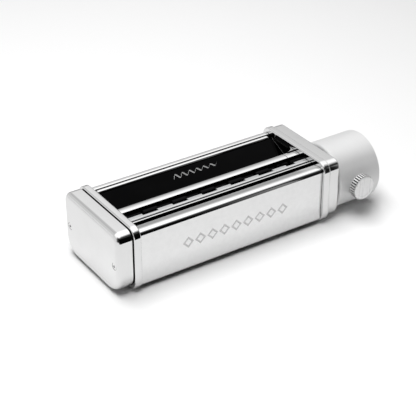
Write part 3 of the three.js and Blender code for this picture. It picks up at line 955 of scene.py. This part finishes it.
class RIBBON_OT_ornament(bpy.types.Operator):
    """Etches a plain chain of lozenges on the front and a ribbon line on the guide plate"""

    bl_idname = "ribbon_cutter.ornament"
    bl_label = "Etched ornament"

    def execute(self, context):
        parts = [self.lozenge(LOZENGE_FIRST_X + i * LOZENGE_STEP, LOZENGE_Z) for i in range(LOZENGES)]
        piece("front_etching", merged(*parts), "chrome", "etch_light", sharp=30)
        piece("guide_etching", self.ribbon(), "dark_polish", "etch_dark")
        return {"FINISHED"}

    def lozenge(self, x, z):
        ring = bmesh.new()
        spots = [[(x, z - r), (x + r, z), (x, z + r), (x - r, z)] for r in LOZENGE_RADII]
        loops = [[ring.verts.new((a, FRONT_LOW.y - 0.002, b)) for a, b in spot] for spot in spots]
        for j in range(4):
            k = (j + 1) % 4
            ring.faces.new((loops[0][j], loops[0][k], loops[1][k], loops[1][j]))
        wall(ring, ETCH_DEPTH)
        return ring

    def ribbon(self):
        ribbon = bmesh.new()
        bmesh.ops.create_grid(ribbon, x_segments=150, y_segments=2, size=0.5)
        low, _ = node_box("guide_plate")
        foot = Vector((0, low.y, low.z))
        up = (Vector((0, *SLOPE_TOP)) - foot).normalized()
        out = Vector((0, -up.z, up.y))
        for v in ribbon.verts:
            u, side = v.co.x, v.co.y
            fade = 1.0 - 0.45 * (u + 0.5)
            across = RIBBON_SWING * fade * math.sin(u * RIBBON_WAVES) + side * RIBBON_STROKE
            along = Vector((RIBBON_X + u * RIBBON_LENGTH + side * 0.9, 0, 0))
            v.co = foot + up * (RIBBON_UP + across) + out * 0.81 + along
        made = bmesh.ops.extrude_face_region(ribbon, geom=ribbon.faces[:])
        moved(ribbon, verts_in(made), out * ETCH_DEPTH)
        bmesh.ops.recalc_face_normals(ribbon, faces=ribbon.faces)
        return ribbon


# ---- rollers and drive -------------------------------------------------------------------------

DISC_HALF = 5.8
FRONT_DISCS = [(x - DISC_HALF, x + DISC_HALF) for x in (-56, -32, -8, 16, 40)] + [(58.2, 65.0)]
REAR_DISCS = [(x - DISC_HALF, x + DISC_HALF) for x in FINGER_CENTRES] + [(65.4, 75.0)]
SHAFT_RADIUS, SHAFT_BORE = 4.0, 4.3
BUSH_RADIUS, BUSH_EASE = 7.7, 0.4
SQUARE_X, ROUND_END_X = 99.0, 101.0  # the shaft's round end stands inside its drive square


def cutter_profile(discs, ends):
    s = sizes()
    disc, root, ease = mm(s.disc_radius), mm(s.root_radius), mm(s.disc_edge)
    profile = [(ends[0], SHAFT_BORE), (ends[0], root - ease), (ends[0] + ease, root)]
    for x0, x1 in discs:
        profile += [(x0, root), (x0, disc - ease), (x0 + ease, disc)]
        profile += [(x1 - ease, disc), (x1, disc - ease), (x1, root)]
    return profile + [(ends[1] - ease, root), (ends[1], root - ease), (ends[1], SHAFT_BORE)]


class RIBBON_OT_rollers(bpy.types.Operator):
    """Turns the two meshing cutter rollers with their shafts and bushes"""

    bl_idname = "ribbon_cutter.rollers"
    bl_label = "Rollers and shafts"

    def execute(self, context):
        for name, discs, axis in (("front", FRONT_DISCS, FRONT_AXIS), ("rear", REAR_DISCS, REAR_AXIS)):
            node, body = f"{name}_cutter", f"{name}_roller"
            low, high = node_box(node)
            cutter = turned(cutter_profile(discs, (low.x, high.x)), axis, 72)
            # painted shade: the cutter discs take the near-black turned finish
            piece(f"{name}_cutter_discs", cutter, "steel", "turned", node, body=body)
            for side in SIDES:
                node = f"{name}_{side}_bush"
                low, high = node_box(node)
                bush = turned(tube_profile(low.x, high.x, SHAFT_BORE, BUSH_RADIUS, BUSH_EASE), axis, 48)
                piece(f"{name}_bush_{side}", bush, "bronze", "bronze", node)
            dress_node(f"{name}_gear", "sintered")
            dress_node(f"{name}_gear_clip", "steel")
        # both shafts share the rollers' near-black turned finish, painted as shade
        low, high = node_box("rear_shaft")
        rod = turned(rod_profile(low.x, high.x, SHAFT_RADIUS), REAR_AXIS, 48)
        piece("rear_shaft_rod", rod, "steel", "turned", "rear_shaft", body="rear_roller")
        low, high = node_box("front_shaft")
        rod = turned(rod_profile(low.x, ROUND_END_X, SHAFT_RADIUS), FRONT_AXIS, 48)
        half = (high.y - low.y) / 2
        y, z = FRONT_AXIS
        square = block((SQUARE_X, y - half, z - half), (high.x, y + half, z + half))
        round_edges(square, [e for e in square.edges if runs_along(e, 0)], 0.7, 3)
        round_edges(square, edges_at(square, 0, high.x), 0.8, 2)
        piece("front_shaft_rod", merged(rod, square), "steel", "turned", "front_shaft", body="front_roller")
        return {"FINISHED"}


# ---- fixings -----------------------------------------------------------------------------------

DOME_ANGLES = (20, 40, 55, 68, 78, 85)
COLLAR_SCREWS = [f"collar_screw_{number}" for number in (1, 2, 3)]
CAP_SCREWS = ("cap_screw_front", "cap_screw_rear")
CAP_RECESS = 1.3


def screw_mesh(head_radius, shank_radius, head_top, head_base, tip, centre, dome=0.65):
    """A plain pan-head screw along x."""
    away = 1 if head_top > tip else -1
    rise = abs(head_top - head_base)
    profile = [(tip, 0), (tip, shank_radius - 0.4), (tip + 0.5 * away, shank_radius)]
    profile += [(head_base, shank_radius), (head_base, head_radius - 0.1)]
    profile.append((head_base + 0.1 * away, head_radius))
    for t in [math.radians(a) for a in DOME_ANGLES]:
        across = head_base + away * rise * (1 - dome + dome * math.sin(t))
        profile.append((across, head_radius * math.cos(t) ** 0.5))
    return turned([*profile, (head_top, 0)], centre, 40)


def crossed(screw, head_radius, head_top, rise, away, centre, reach=0.62):
    """The screw with a crossed recess cut into its head."""
    y, z = centre
    arm, thick, deep = head_radius * reach, head_radius * 0.13, rise * 0.7
    x0, x1 = sorted((head_top - deep * away, head_top + away))
    level = block((x0, y - arm, z - thick), (x1, y + arm, z + thick))
    upright_bar = block((x0, y - thick, z - arm), (x1, y + thick, z + arm))
    return carved(screw, [level, upright_bar])


def in_recess(node):
    """Picks the faces inside a cap screw's recess, whose mouth is the screw's low-x end."""
    mouth = MIDDLE.x + (node_box(node)[0].x + 0.3) * MM
    y, z = MIDDLE.y + node_axis(node)[0] * MM, MIDDLE.z + node_axis(node)[1] * MM

    def chosen(face):
        off = math.hypot(face.center.y - y, face.center.z - z)
        return face.center.x > mouth and off < CAP_RECESS * MM

    return chosen


class RIBBON_OT_fixings(bpy.types.Operator):
    """Makes the tie rods, their screws, and the screws of the cap and collar"""

    bl_idname = "ribbon_cutter.fixings"
    bl_label = "Rods and screws"

    def execute(self, context):
        for place in PLACES:
            node = f"tie_rod_{place}"
            low, high = node_box(node)
            rod = turned(tube_profile(low.x, high.x, 2.2, 3.0, 0.3), node_axis(node), 40)
            piece(f"{node}_bar", rod, "steel", "steel", node)
            for side, away in zip(SIDES, (-1, 1)):
                node = f"tie_screw_{side}_{place}"
                low, high = node_box(node)
                top, tip = (high.x, low.x) if away > 0 else (low.x, high.x)
                made = screw_mesh(3.3, 1.9, top, top - 2.0 * away, tip, node_axis(node))
                piece(f"{node}_fixing", made, "steel", "steel", node)
        for node in CAP_SCREWS:
            low, high = node_box(node)
            at, rise = node_axis(node), 1.1
            made = screw_mesh(2.6, 1.6, low.x, low.x + rise, high.x, at, dome=0.25)
            made = crossed(made, 2.6, low.x, rise, -1, at, reach=0.40)
            made = piece(f"{node}_fixing", made, "steel", "chrome", node)
            # painted shade inside the cap screw's recess
            refinish(made, "painted_shade", in_recess(node))
        for node in COLLAR_SCREWS:
            low, high = node_box(node)
            at, rise = node_axis(node), 2.2
            made = crossed(screw_mesh(3.3, 1.7, high.x, high.x - rise, low.x, at), 3.3, high.x, rise, 1, at)
            piece(f"{node}_fixing", made, "steel", "steel", node)
        return {"FINISHED"}


# ---- caps and collar ---------------------------------------------------------------------------

CAP_GAP = 0.4  # between the closed cap's rim and the end plate
CAP_SKIN, CAP_FACE = 2.6, 1.8
SEAL_INSET, SEAL_WIDTH = 1.1, 4.0
TIE_HEAD_CLEARANCE = 3.7
COLLAR_SCREW_CLEARANCE = 2.0


class RIBBON_OT_caps(bpy.types.Operator):
    """Makes the closed cap over the gears and the flat cap behind the collar"""

    bl_idname = "ribbon_cutter.caps"
    bl_label = "End caps"

    def execute(self, context):
        self.closed_cap()
        self.collar_cap()
        return {"FINISHED"}

    def closed_cap(self):
        s = sizes()
        top, corner = mm(s.cap_top_radius), mm(s.left_cap_low)
        low, high = LEFT_CAP_LOW, LEFT_CAP_HIGH - Vector((CAP_GAP, 0, 0))
        screw_head = node_axis("tie_screw_left_front_low")
        shell = rounded_slab(low, high, top, corner, [(low.x, mm(s.left_cap_edge), 10), (high.x, 0.3, 2)], 12)
        hollow_low = (low.x + CAP_FACE, low.y + CAP_SKIN, low.z + CAP_SKIN)
        hollow_high = (high.x + 1, high.y - CAP_SKIN, high.z - CAP_SKIN)
        holes = [rounded_slab(hollow_low, hollow_high, 8.5, corner - CAP_SKIN, [], 8)]
        holes.append(drill(TIE_HEAD_CLEARANCE, screw_head, high.x - 1.6, high.x + 1.5))
        for radius, depth in ((2.66, 1.4), (1.84, 2.4)):
            holes += [drill(radius, node_axis(node), low.x - 1, low.x + depth) for node in CAP_SCREWS]
        piece("left_cap_shell", carved(shell, holes), "chrome", "chrome", "left_cap")
        # painted shade: a near-black seal fills the gap between the cap and the end plate
        inset, width = SEAL_INSET, SEAL_WIDTH
        seal_low = (high.x - 0.5, low.y + inset, low.z + inset)
        seal_high = (node_box("left_end_plate")[0].x, high.y - inset, high.z - inset)
        seal = rounded_slab(seal_low, seal_high, top - inset, corner - inset, [], 8)
        window_low = (seal_low[0] - 1, low.y + width, low.z + width)
        window_high = (seal_high[0] + 1, high.y - width, high.z - width)
        window = rounded_slab(window_low, window_high, 4, corner - 3.2, [], 6)
        notch = drill(TIE_HEAD_CLEARANCE, screw_head, seal_low[0] - 2, seal_high[0] + 2)
        piece("left_cap_seal", carved(seal, [window, notch]), "dark_polish", "painted_shade")

    def collar_cap(self):
        s = sizes()
        low, high = RIGHT_CAP_LOW, RIGHT_CAP_HIGH
        rims = [(high.x, mm(s.right_cap_edge), 8), (low.x, 0.3, 2)]
        shell = rounded_slab(low, high, mm(s.cap_top_radius), mm(s.cap_low_radius), rims, 12)
        holes = [drill(6.0, FRONT_AXIS, low.x - 1, high.x + 1)]
        holes += [drill(COLLAR_SCREW_CLEARANCE, node_axis(n), low.x - 1, high.x + 1) for n in COLLAR_SCREWS]
        heads = [node_axis(f"tie_screw_right_{place}") for place in PLACES]
        holes += [drill(4.0, head, low.x - 1, low.x + 3.6) for head in heads]
        holes.append(drill(8.2, REAR_AXIS, low.x - 1, low.x + 1.2))
        piece("right_cap_shell", carved(shell, holes), "chrome", "chrome", "right_cap")


COLLAR_BORE, COLLAR_FLANGE, COLLAR_SHOULDER = 21.5, 4.0, 1.7
COLLAR_REACH = 0.25  # the flange starts this much nearer the cap than its node
DRIVE_BORE = 7.0
CLAMP_CLEARANCE = 3.2


class RIBBON_OT_collar(bpy.types.Operator):
    """Turns the satin collar that slips over the mixer's outlet"""

    bl_idname = "ribbon_cutter.collar"
    bl_label = "Collar"

    def execute(self, context):
        outer, bore, lip = (COLLAR_HIGH.z - COLLAR_LOW.z) / 2, COLLAR_BORE, mm(sizes().collar_lip)
        left, right = COLLAR_LOW.x - COLLAR_REACH, COLLAR_HIGH.x
        back, shoulder = left + COLLAR_FLANGE, COLLAR_SHOULDER
        profile = [(left, DRIVE_BORE + 0.4)]
        profile += arc((left + shoulder, outer - shoulder), shoulder, 180, 90, 6)
        profile += arc((right - lip, outer - lip), lip, 90, 0, 6)
        profile += arc((right - lip, bore + lip), lip, 0, -90, 6)
        profile += [(right - 9.0, bore), (right - 9.3, bore - 0.25), (back + 1.2, bore - 0.25)]
        profile += [(back + 0.4, bore - 0.6), (back, bore - 1.4), (back, DRIVE_BORE + 0.4)]
        profile += [(back - 0.4, DRIVE_BORE), (left + 0.4, DRIVE_BORE)]
        ring = turned(profile, COLLAR_AXIS, 144)
        holes = [to_clamp_axis(drill(CLAMP_CLEARANCE, (0, 0), 12, 50, 40))]
        holes += [drill(COLLAR_SCREW_CLEARANCE, node_axis(n), left - 1, back + 1) for n in COLLAR_SCREWS]
        piece("collar_ring", carved(ring, holes), "satin_aluminium", "satin", "collar")
        return {"FINISHED"}


KNURL_END = 0.8  # the knurled band stops this far from the knob's two faces
CORE_SINK = 0.85  # the plain core is this much smaller than the ridges
THREAD_CREST, THREAD_ROOT, THREAD_PITCH = 2.9, 2.45, 1.0
PAD_RADIUS = 4.5


class RIBBON_OT_thumbscrew(bpy.types.Operator):
    """Makes the knurled thumbscrew with its shank and swivelling pad"""

    bl_idname = "ribbon_cutter.thumbscrew"
    bl_label = "Thumbscrew"

    def execute(self, context):
        radius, depth = (KNOB_HIGH.z - KNOB_LOW.z) / 2, mm(sizes().knurl_depth)
        near, far = -KNOB_HIGH.y, -KNOB_LOW.y
        core = radius - CORE_SINK
        face = [(near, 0), (near, radius - 1.5), (near + 0.75, core), (near + 1.2, core)]
        face += [(far - 1.2, core), (far - 0.75, core)]
        face += arc((far - 0.75, radius - 1.25), 0.75, 80, 0, 6)
        face += [(far, radius - 2.6), (far - 0.18, radius - 2.9), (far - 0.22, 1.2), (far - 0.5, 0)]
        solid = carved(knurled_band(radius, depth, near, far), [turned(face, (0, 0))], "UNION")
        hole = drill(CLAMP_CLEARANCE, (0, 0), near - 1, near + 3.8, 40)
        knob = to_clamp_axis(carved(solid, [hole]))
        looks = ("satin_aluminium", "satin_knob")
        made = piece("thumbscrew_knob", knob, *looks, "clamp_knob", body="clamp_turn_body", sharp=28)
        # the knurl's groove floors get a near-black satin as painted shade
        refinish(made, "satin_groove_shade", in_groove((radius - 0.3 * depth) * MM))
        # shank and pad share the rollers' near-black turned finish
        low, high = node_box("clamp_screw")
        threads = turned(thread_profile(-high.y, -low.y, THREAD_CREST, THREAD_ROOT, THREAD_PITCH), (0, 0), 40)
        shank = to_clamp_axis(threads)
        piece("thumbscrew_shank", shank, "steel", "turned", "clamp_screw", body="clamp_turn_body")
        low, high = node_box("clamp_pad")
        pad = to_clamp_axis(turned(rod_profile(-high.y, -low.y, PAD_RADIUS, 0.5), (0, 0), 48))
        piece("thumbscrew_pad", pad, "steel", "turned", "clamp_pad", body="clamp_travel_body")
        return {"FINISHED"}


def knurled_band(radius, depth, near, far):
    """A solid disc round the x axis with a vee groove between each pair of ridges."""
    bm = bmesh.new()
    bmesh.ops.create_circle(bm, cap_ends=True, segments=counts().knurl_ridges * 4, radius=radius)
    for i, v in enumerate(sorted(bm.verts, key=lambda v: math.atan2(v.co.y, v.co.x))):
        if i % 4 == 2:
            v.co *= (radius - depth) / radius
    bmesh.ops.rotate(bm, verts=bm.verts, cent=(0, 0, 0), matrix=Matrix.Rotation(math.pi / 2, 3, "Y"))
    moved(bm, bm.verts, (near + KNURL_END, 0, 0))
    body = bmesh.ops.extrude_face_region(bm, geom=bm.faces[:])
    moved(bm, verts_in(body), (far - near - 2 * KNURL_END, 0, 0))
    bmesh.ops.recalc_face_normals(bm, faces=bm.faces)
    return bm


def in_groove(floor):
    """Picks the faces at the bottom of the knurl's grooves, given their distance from the axis."""
    x, z = MIDDLE.x + CLAMP_X * MM, MIDDLE.z + CLAMP_Z * MM

    def chosen(face):
        off = math.hypot(face.center.x - x, face.center.z - z)
        return abs(face.normal.y) < 0.3 and 0.7 * floor < off < floor

    return chosen


def thread_profile(x0, x1, crest, root, pitch):
    """A row of vee grooves, the look of a fine thread."""
    profile = [(x0, 0), (x0, root - 0.2)]
    count = int((x1 - x0 - 0.8) / pitch)
    for i in range(count):
        x = x0 + 0.3 + i * pitch
        profile += [(x, root), (x + 0.42 * pitch, crest), (x + 0.58 * pitch, crest)]
    return profile + [(x0 + 0.3 + count * pitch, root), (x1, root - 0.2), (x1, 0)]


# ---- stage -------------------------------------------------------------------------------------

CAMERA_TURN = math.radians(-33.66)
CAMERA_RISE = math.radians(31.28)
CAMERA_REACH = 909.5
CAMERA_LENS = 110.24
CAMERA_AIM = (1.4, 0.0, 21.2)


def look_direction(turn, rise):
    return Vector((math.sin(turn) * math.cos(rise), -math.cos(turn) * math.cos(rise), math.sin(rise)))


# how bright the mirrored sky is, by height, and what brightens or dims parts of it
SKY_TONES = ((0.0, 0.315), (0.24, 0.54), (0.476, 0.855), (0.52, 0.97), (0.70, 1.41), (1.0, 1.63))
SIDE_LIFT = 0.92
SIDE_DIM = 0.45
NEAR_SIDE_LIFT = 0.135
FRONT_LEVEL = 0.04
FILL_LEVEL = 0.07
FLAG_LOW, FLAG_HIGH = (-160, -142, 0.5), (760, -140, 118)
FLAG_TONES = (
    *((-160, 0.0), (20, 0.003), (51, 0.034), (83, 0.16), (110, 0.27)),
    *((120, 0.22), (127, 0.01), (158, 0.01), (172, 0.36), (760, 0.40)),
)
SOFTBOX = {"place": (-0.16, 0.04, 1.15), "aim": (0, 0, 0.02), "width": 1.2, "height": 0.6, "power": 17.4}
FLOOR_RADIUS, FLOOR_DROP = 3.0, 0.0002


def tone_ramp(w, value, tones, low, high):
    """A grey ramp through (place, brightness) pairs given between two ends."""
    ramp = w.node("ShaderNodeValToRGB")
    w.put(ramp.inputs["Fac"], w.span(value, low, high))
    peak = max(tone for _, tone in tones)
    points = ramp.color_ramp.elements
    points[0].position, points[1].position = 0.0, 1.0
    for spot, _ in tones[1:-1]:
        points.new((spot - low) / (high - low))
    for point, (_, tone) in zip(sorted(points, key=lambda point: point.position), tones):
        point.color = (tone / peak, tone / peak, tone / peak, 1.0)
    return ramp.outputs["Color"], peak


def studio_sky(scene):
    """A soft tent seen only in reflections, over an even fill for diffuse rays.

    Brightness rises with height. The closed cap's side is lifted low down, the far right above the
    rear is dimmed, and the front stays dark up to the overhead part.
    """
    world = bpy.data.worlds.new("studio")
    scene.world = world
    world.use_nodes = True
    w = Wiring(world.node_tree)
    split = w.node("ShaderNodeSeparateXYZ")
    w.put(split.inputs[0], w.node("ShaderNodeTexCoord").outputs["Generated"])
    tone, peak = tone_ramp(w, split.outputs["Z"], SKY_TONES, 0.0, 1.0)
    side = w.span(split.outputs["X"], 0.3, -0.5)
    low = w.span(split.outputs["Z"], 0.44, 0.0)
    lift = w.math("MULTIPLY", w.math("MULTIPLY", side, low), SIDE_LIFT / peak)
    dim = w.math("MULTIPLY", w.span(split.outputs["X"], 0.45, 0.15), w.span(split.outputs["Z"], 0.50, 0.62))
    dim = w.math("MULTIPLY", w.math("MULTIPLY", dim, w.span(split.outputs["Y"], 0.4, 0.6)), SIDE_DIM)
    tone = w.math("MULTIPLY", tone, w.math("SUBTRACT", 1.0, dim))
    tent = w.math("MULTIPLY", w.math("ADD", tone, lift), peak)
    ahead = w.math("SUBTRACT", split.outputs["Y"], w.math("MULTIPLY", split.outputs["Z"], 0.05))
    open_side = w.span(ahead, -0.52, -0.12, FRONT_LEVEL, 1.0)
    overhead = w.span(split.outputs["Z"], 0.70, 0.86)
    near = w.math("MULTIPLY", w.span(split.outputs["X"], 0.54, 0.40), w.span(split.outputs["X"], 0.0, 0.3))
    near = w.math("MULTIPLY", near, w.span(split.outputs["Z"], 0.25, 0.5, 0.0, NEAR_SIDE_LIFT))
    mirrored = w.math("MULTIPLY", w.math("ADD", tent, near), w.math("MAXIMUM", open_side, overhead))
    fill = w.node("ShaderNodeLightPath").outputs["Is Diffuse Ray"]
    unlit = w.math("MULTIPLY", mirrored, w.math("SUBTRACT", 1.0, fill))
    total = w.math("ADD", unlit, w.math("MULTIPLY", fill, FILL_LEVEL))
    background = world.node_tree.nodes["Background"]
    background.inputs["Color"].default_value = (1, 1, 1, 1)
    w.put(background.inputs["Strength"], total)


def card(name, low, high, tones):
    """A studio flag seen only in reflections: an upright panel graded along x."""
    bm = block(low, high)
    settle(bm)
    made = plain_object(name, bm)
    material = bpy.data.materials.new(name)
    material.use_nodes = True
    w = Wiring(material.node_tree)
    nodes = material.node_tree.nodes
    nodes.remove(nodes["Principled BSDF"])
    split = w.node("ShaderNodeSeparateXYZ")
    w.put(split.inputs[0], w.node("ShaderNodeTexCoord").outputs["Object"])
    along = w.math("SUBTRACT", w.math("DIVIDE", split.outputs["X"], MM), MIDDLE.x / MM)
    tone, peak = tone_ramp(w, along, tones, low[0], high[0])
    glow = w.node("ShaderNodeEmission")
    w.put(glow.inputs["Color"], tone)
    glow.inputs["Strength"].default_value = peak
    w.put(nodes["Material Output"].inputs["Surface"], glow.outputs[0])
    made.data.materials.append(material)
    made.visible_camera = False
    made.visible_diffuse = False
    made.visible_shadow = False
    made.visible_transmission = False


def soft_light(name, place, aim, width, height, power):
    """A rectangular light that reflections do not show."""
    light = bpy.data.lights.new(name, "AREA")
    light.shape = "RECTANGLE"
    light.size, light.size_y, light.energy = width, height, power
    made = bpy.data.objects.new(name, light)
    bpy.context.scene.collection.objects.link(made)
    made.location = place
    made.rotation_euler = (Vector(aim) - Vector(place)).to_track_quat("-Z", "Y").to_euler()
    made.visible_glossy = False


class RIBBON_OT_stage(bpy.types.Operator):
    """Sets the pale floor, the soft studio light, the reflection cards and the camera"""

    bl_idname = "ribbon_cutter.stage"
    bl_label = "Stage"

    def execute(self, context):
        scene = bpy.context.scene
        bm = bmesh.new()
        bmesh.ops.create_circle(bm, cap_ends=True, segments=96, radius=FLOOR_RADIUS)
        moved(bm, bm.verts, (0, 0, -FLOOR_DROP))
        floor = plain_object("floor", bm)
        material = bpy.data.materials.new("pale_floor")
        material.use_nodes = True
        w = Wiring(material.node_tree)
        shader = material.node_tree.nodes["Principled BSDF"]
        place = w.node("ShaderNodeTexCoord").outputs["Object"]
        tint = colours().floor
        w.put(shader.inputs["Base Color"], w.mix(w.noise(place, 3.0, 2.0), rgba(tint, 0.995), rgba(tint)))
        w.put(shader.inputs["Roughness"], w.span(w.noise(place, 12.0, 2.0), 0.3, 0.7, 0.7, 0.8))
        shader.inputs["Specular IOR Level"].default_value = 0.15
        floor.data.materials.append(material)

        studio_sky(scene)
        soft_light("overhead_softbox", **SOFTBOX)
        card("front_flag", FLAG_LOW, FLAG_HIGH, FLAG_TONES)

        camera = bpy.data.objects.new("camera", bpy.data.cameras.new("camera"))
        scene.collection.objects.link(camera)
        aim = MIDDLE + Vector(CAMERA_AIM) * MM
        away = look_direction(CAMERA_TURN, CAMERA_RISE)
        camera.location = aim + away * CAMERA_REACH * MM
        camera.rotation_euler = (-away).to_track_quat("-Z", "Y").to_euler()
        camera.data.lens = CAMERA_LENS
        camera.data.sensor_width = 36.0
        scene.camera = camera
        scene.view_settings.view_transform = "Standard"
        return {"FINISHED"}


class RIBBON_PT_panel(bpy.types.Panel):
    """Lists the pieces in the 3D view's sidebar"""

    bl_idname = "RIBBON_PT_panel"
    bl_label = "Ribbon cutter"
    bl_space_type = "VIEW_3D"
    bl_region_type = "UI"
    bl_category = "Ribbon cutter"

    def draw(self, context):
        for operator in OPERATORS:
            self.layout.operator(operator.bl_idname)
        for settings in (sizes(), counts(), colours()):
            for name in settings.__annotations__:
                self.layout.prop(settings, name)


OPERATORS = (
    RIBBON_OT_end_plates,
    RIBBON_OT_covers,
    RIBBON_OT_guide_plate,
    RIBBON_OT_bars,
    RIBBON_OT_combs,
    RIBBON_OT_ornament,
    RIBBON_OT_rollers,
    RIBBON_OT_fixings,
    RIBBON_OT_caps,
    RIBBON_OT_collar,
    RIBBON_OT_thumbscrew,
    RIBBON_OT_stage,
)
SETTINGS = (RibbonCutterSizes, RibbonCutterCounts, RibbonCutterColours)


def register():
    for made in (*SETTINGS, *OPERATORS, RIBBON_PT_panel):
        bpy.utils.register_class(made)
    bpy.types.Scene.ribbon_cutter_sizes = PointerProperty(type=RibbonCutterSizes)
    bpy.types.Scene.ribbon_cutter_counts = PointerProperty(type=RibbonCutterCounts)
    bpy.types.Scene.ribbon_cutter_colours = PointerProperty(type=RibbonCutterColours)


def unregister():
    del bpy.types.Scene.ribbon_cutter_colours
    del bpy.types.Scene.ribbon_cutter_counts
    del bpy.types.Scene.ribbon_cutter_sizes
    for made in reversed((*SETTINGS, *OPERATORS, RIBBON_PT_panel)):
        bpy.utils.unregister_class(made)


def main():
    register()
    bpy.ops.ribbon_cutter.stage()
    bpy.ops.ribbon_cutter.end_plates()
    bpy.ops.ribbon_cutter.covers()
    bpy.ops.ribbon_cutter.guide_plate()
    bpy.ops.ribbon_cutter.bars()
    bpy.ops.ribbon_cutter.combs()
    bpy.ops.ribbon_cutter.ornament()
    bpy.ops.ribbon_cutter.rollers()
    bpy.ops.ribbon_cutter.fixings()
    bpy.ops.ribbon_cutter.caps()
    bpy.ops.ribbon_cutter.collar()
    bpy.ops.ribbon_cutter.thumbscrew()


if __name__ == "__main__":
    main()
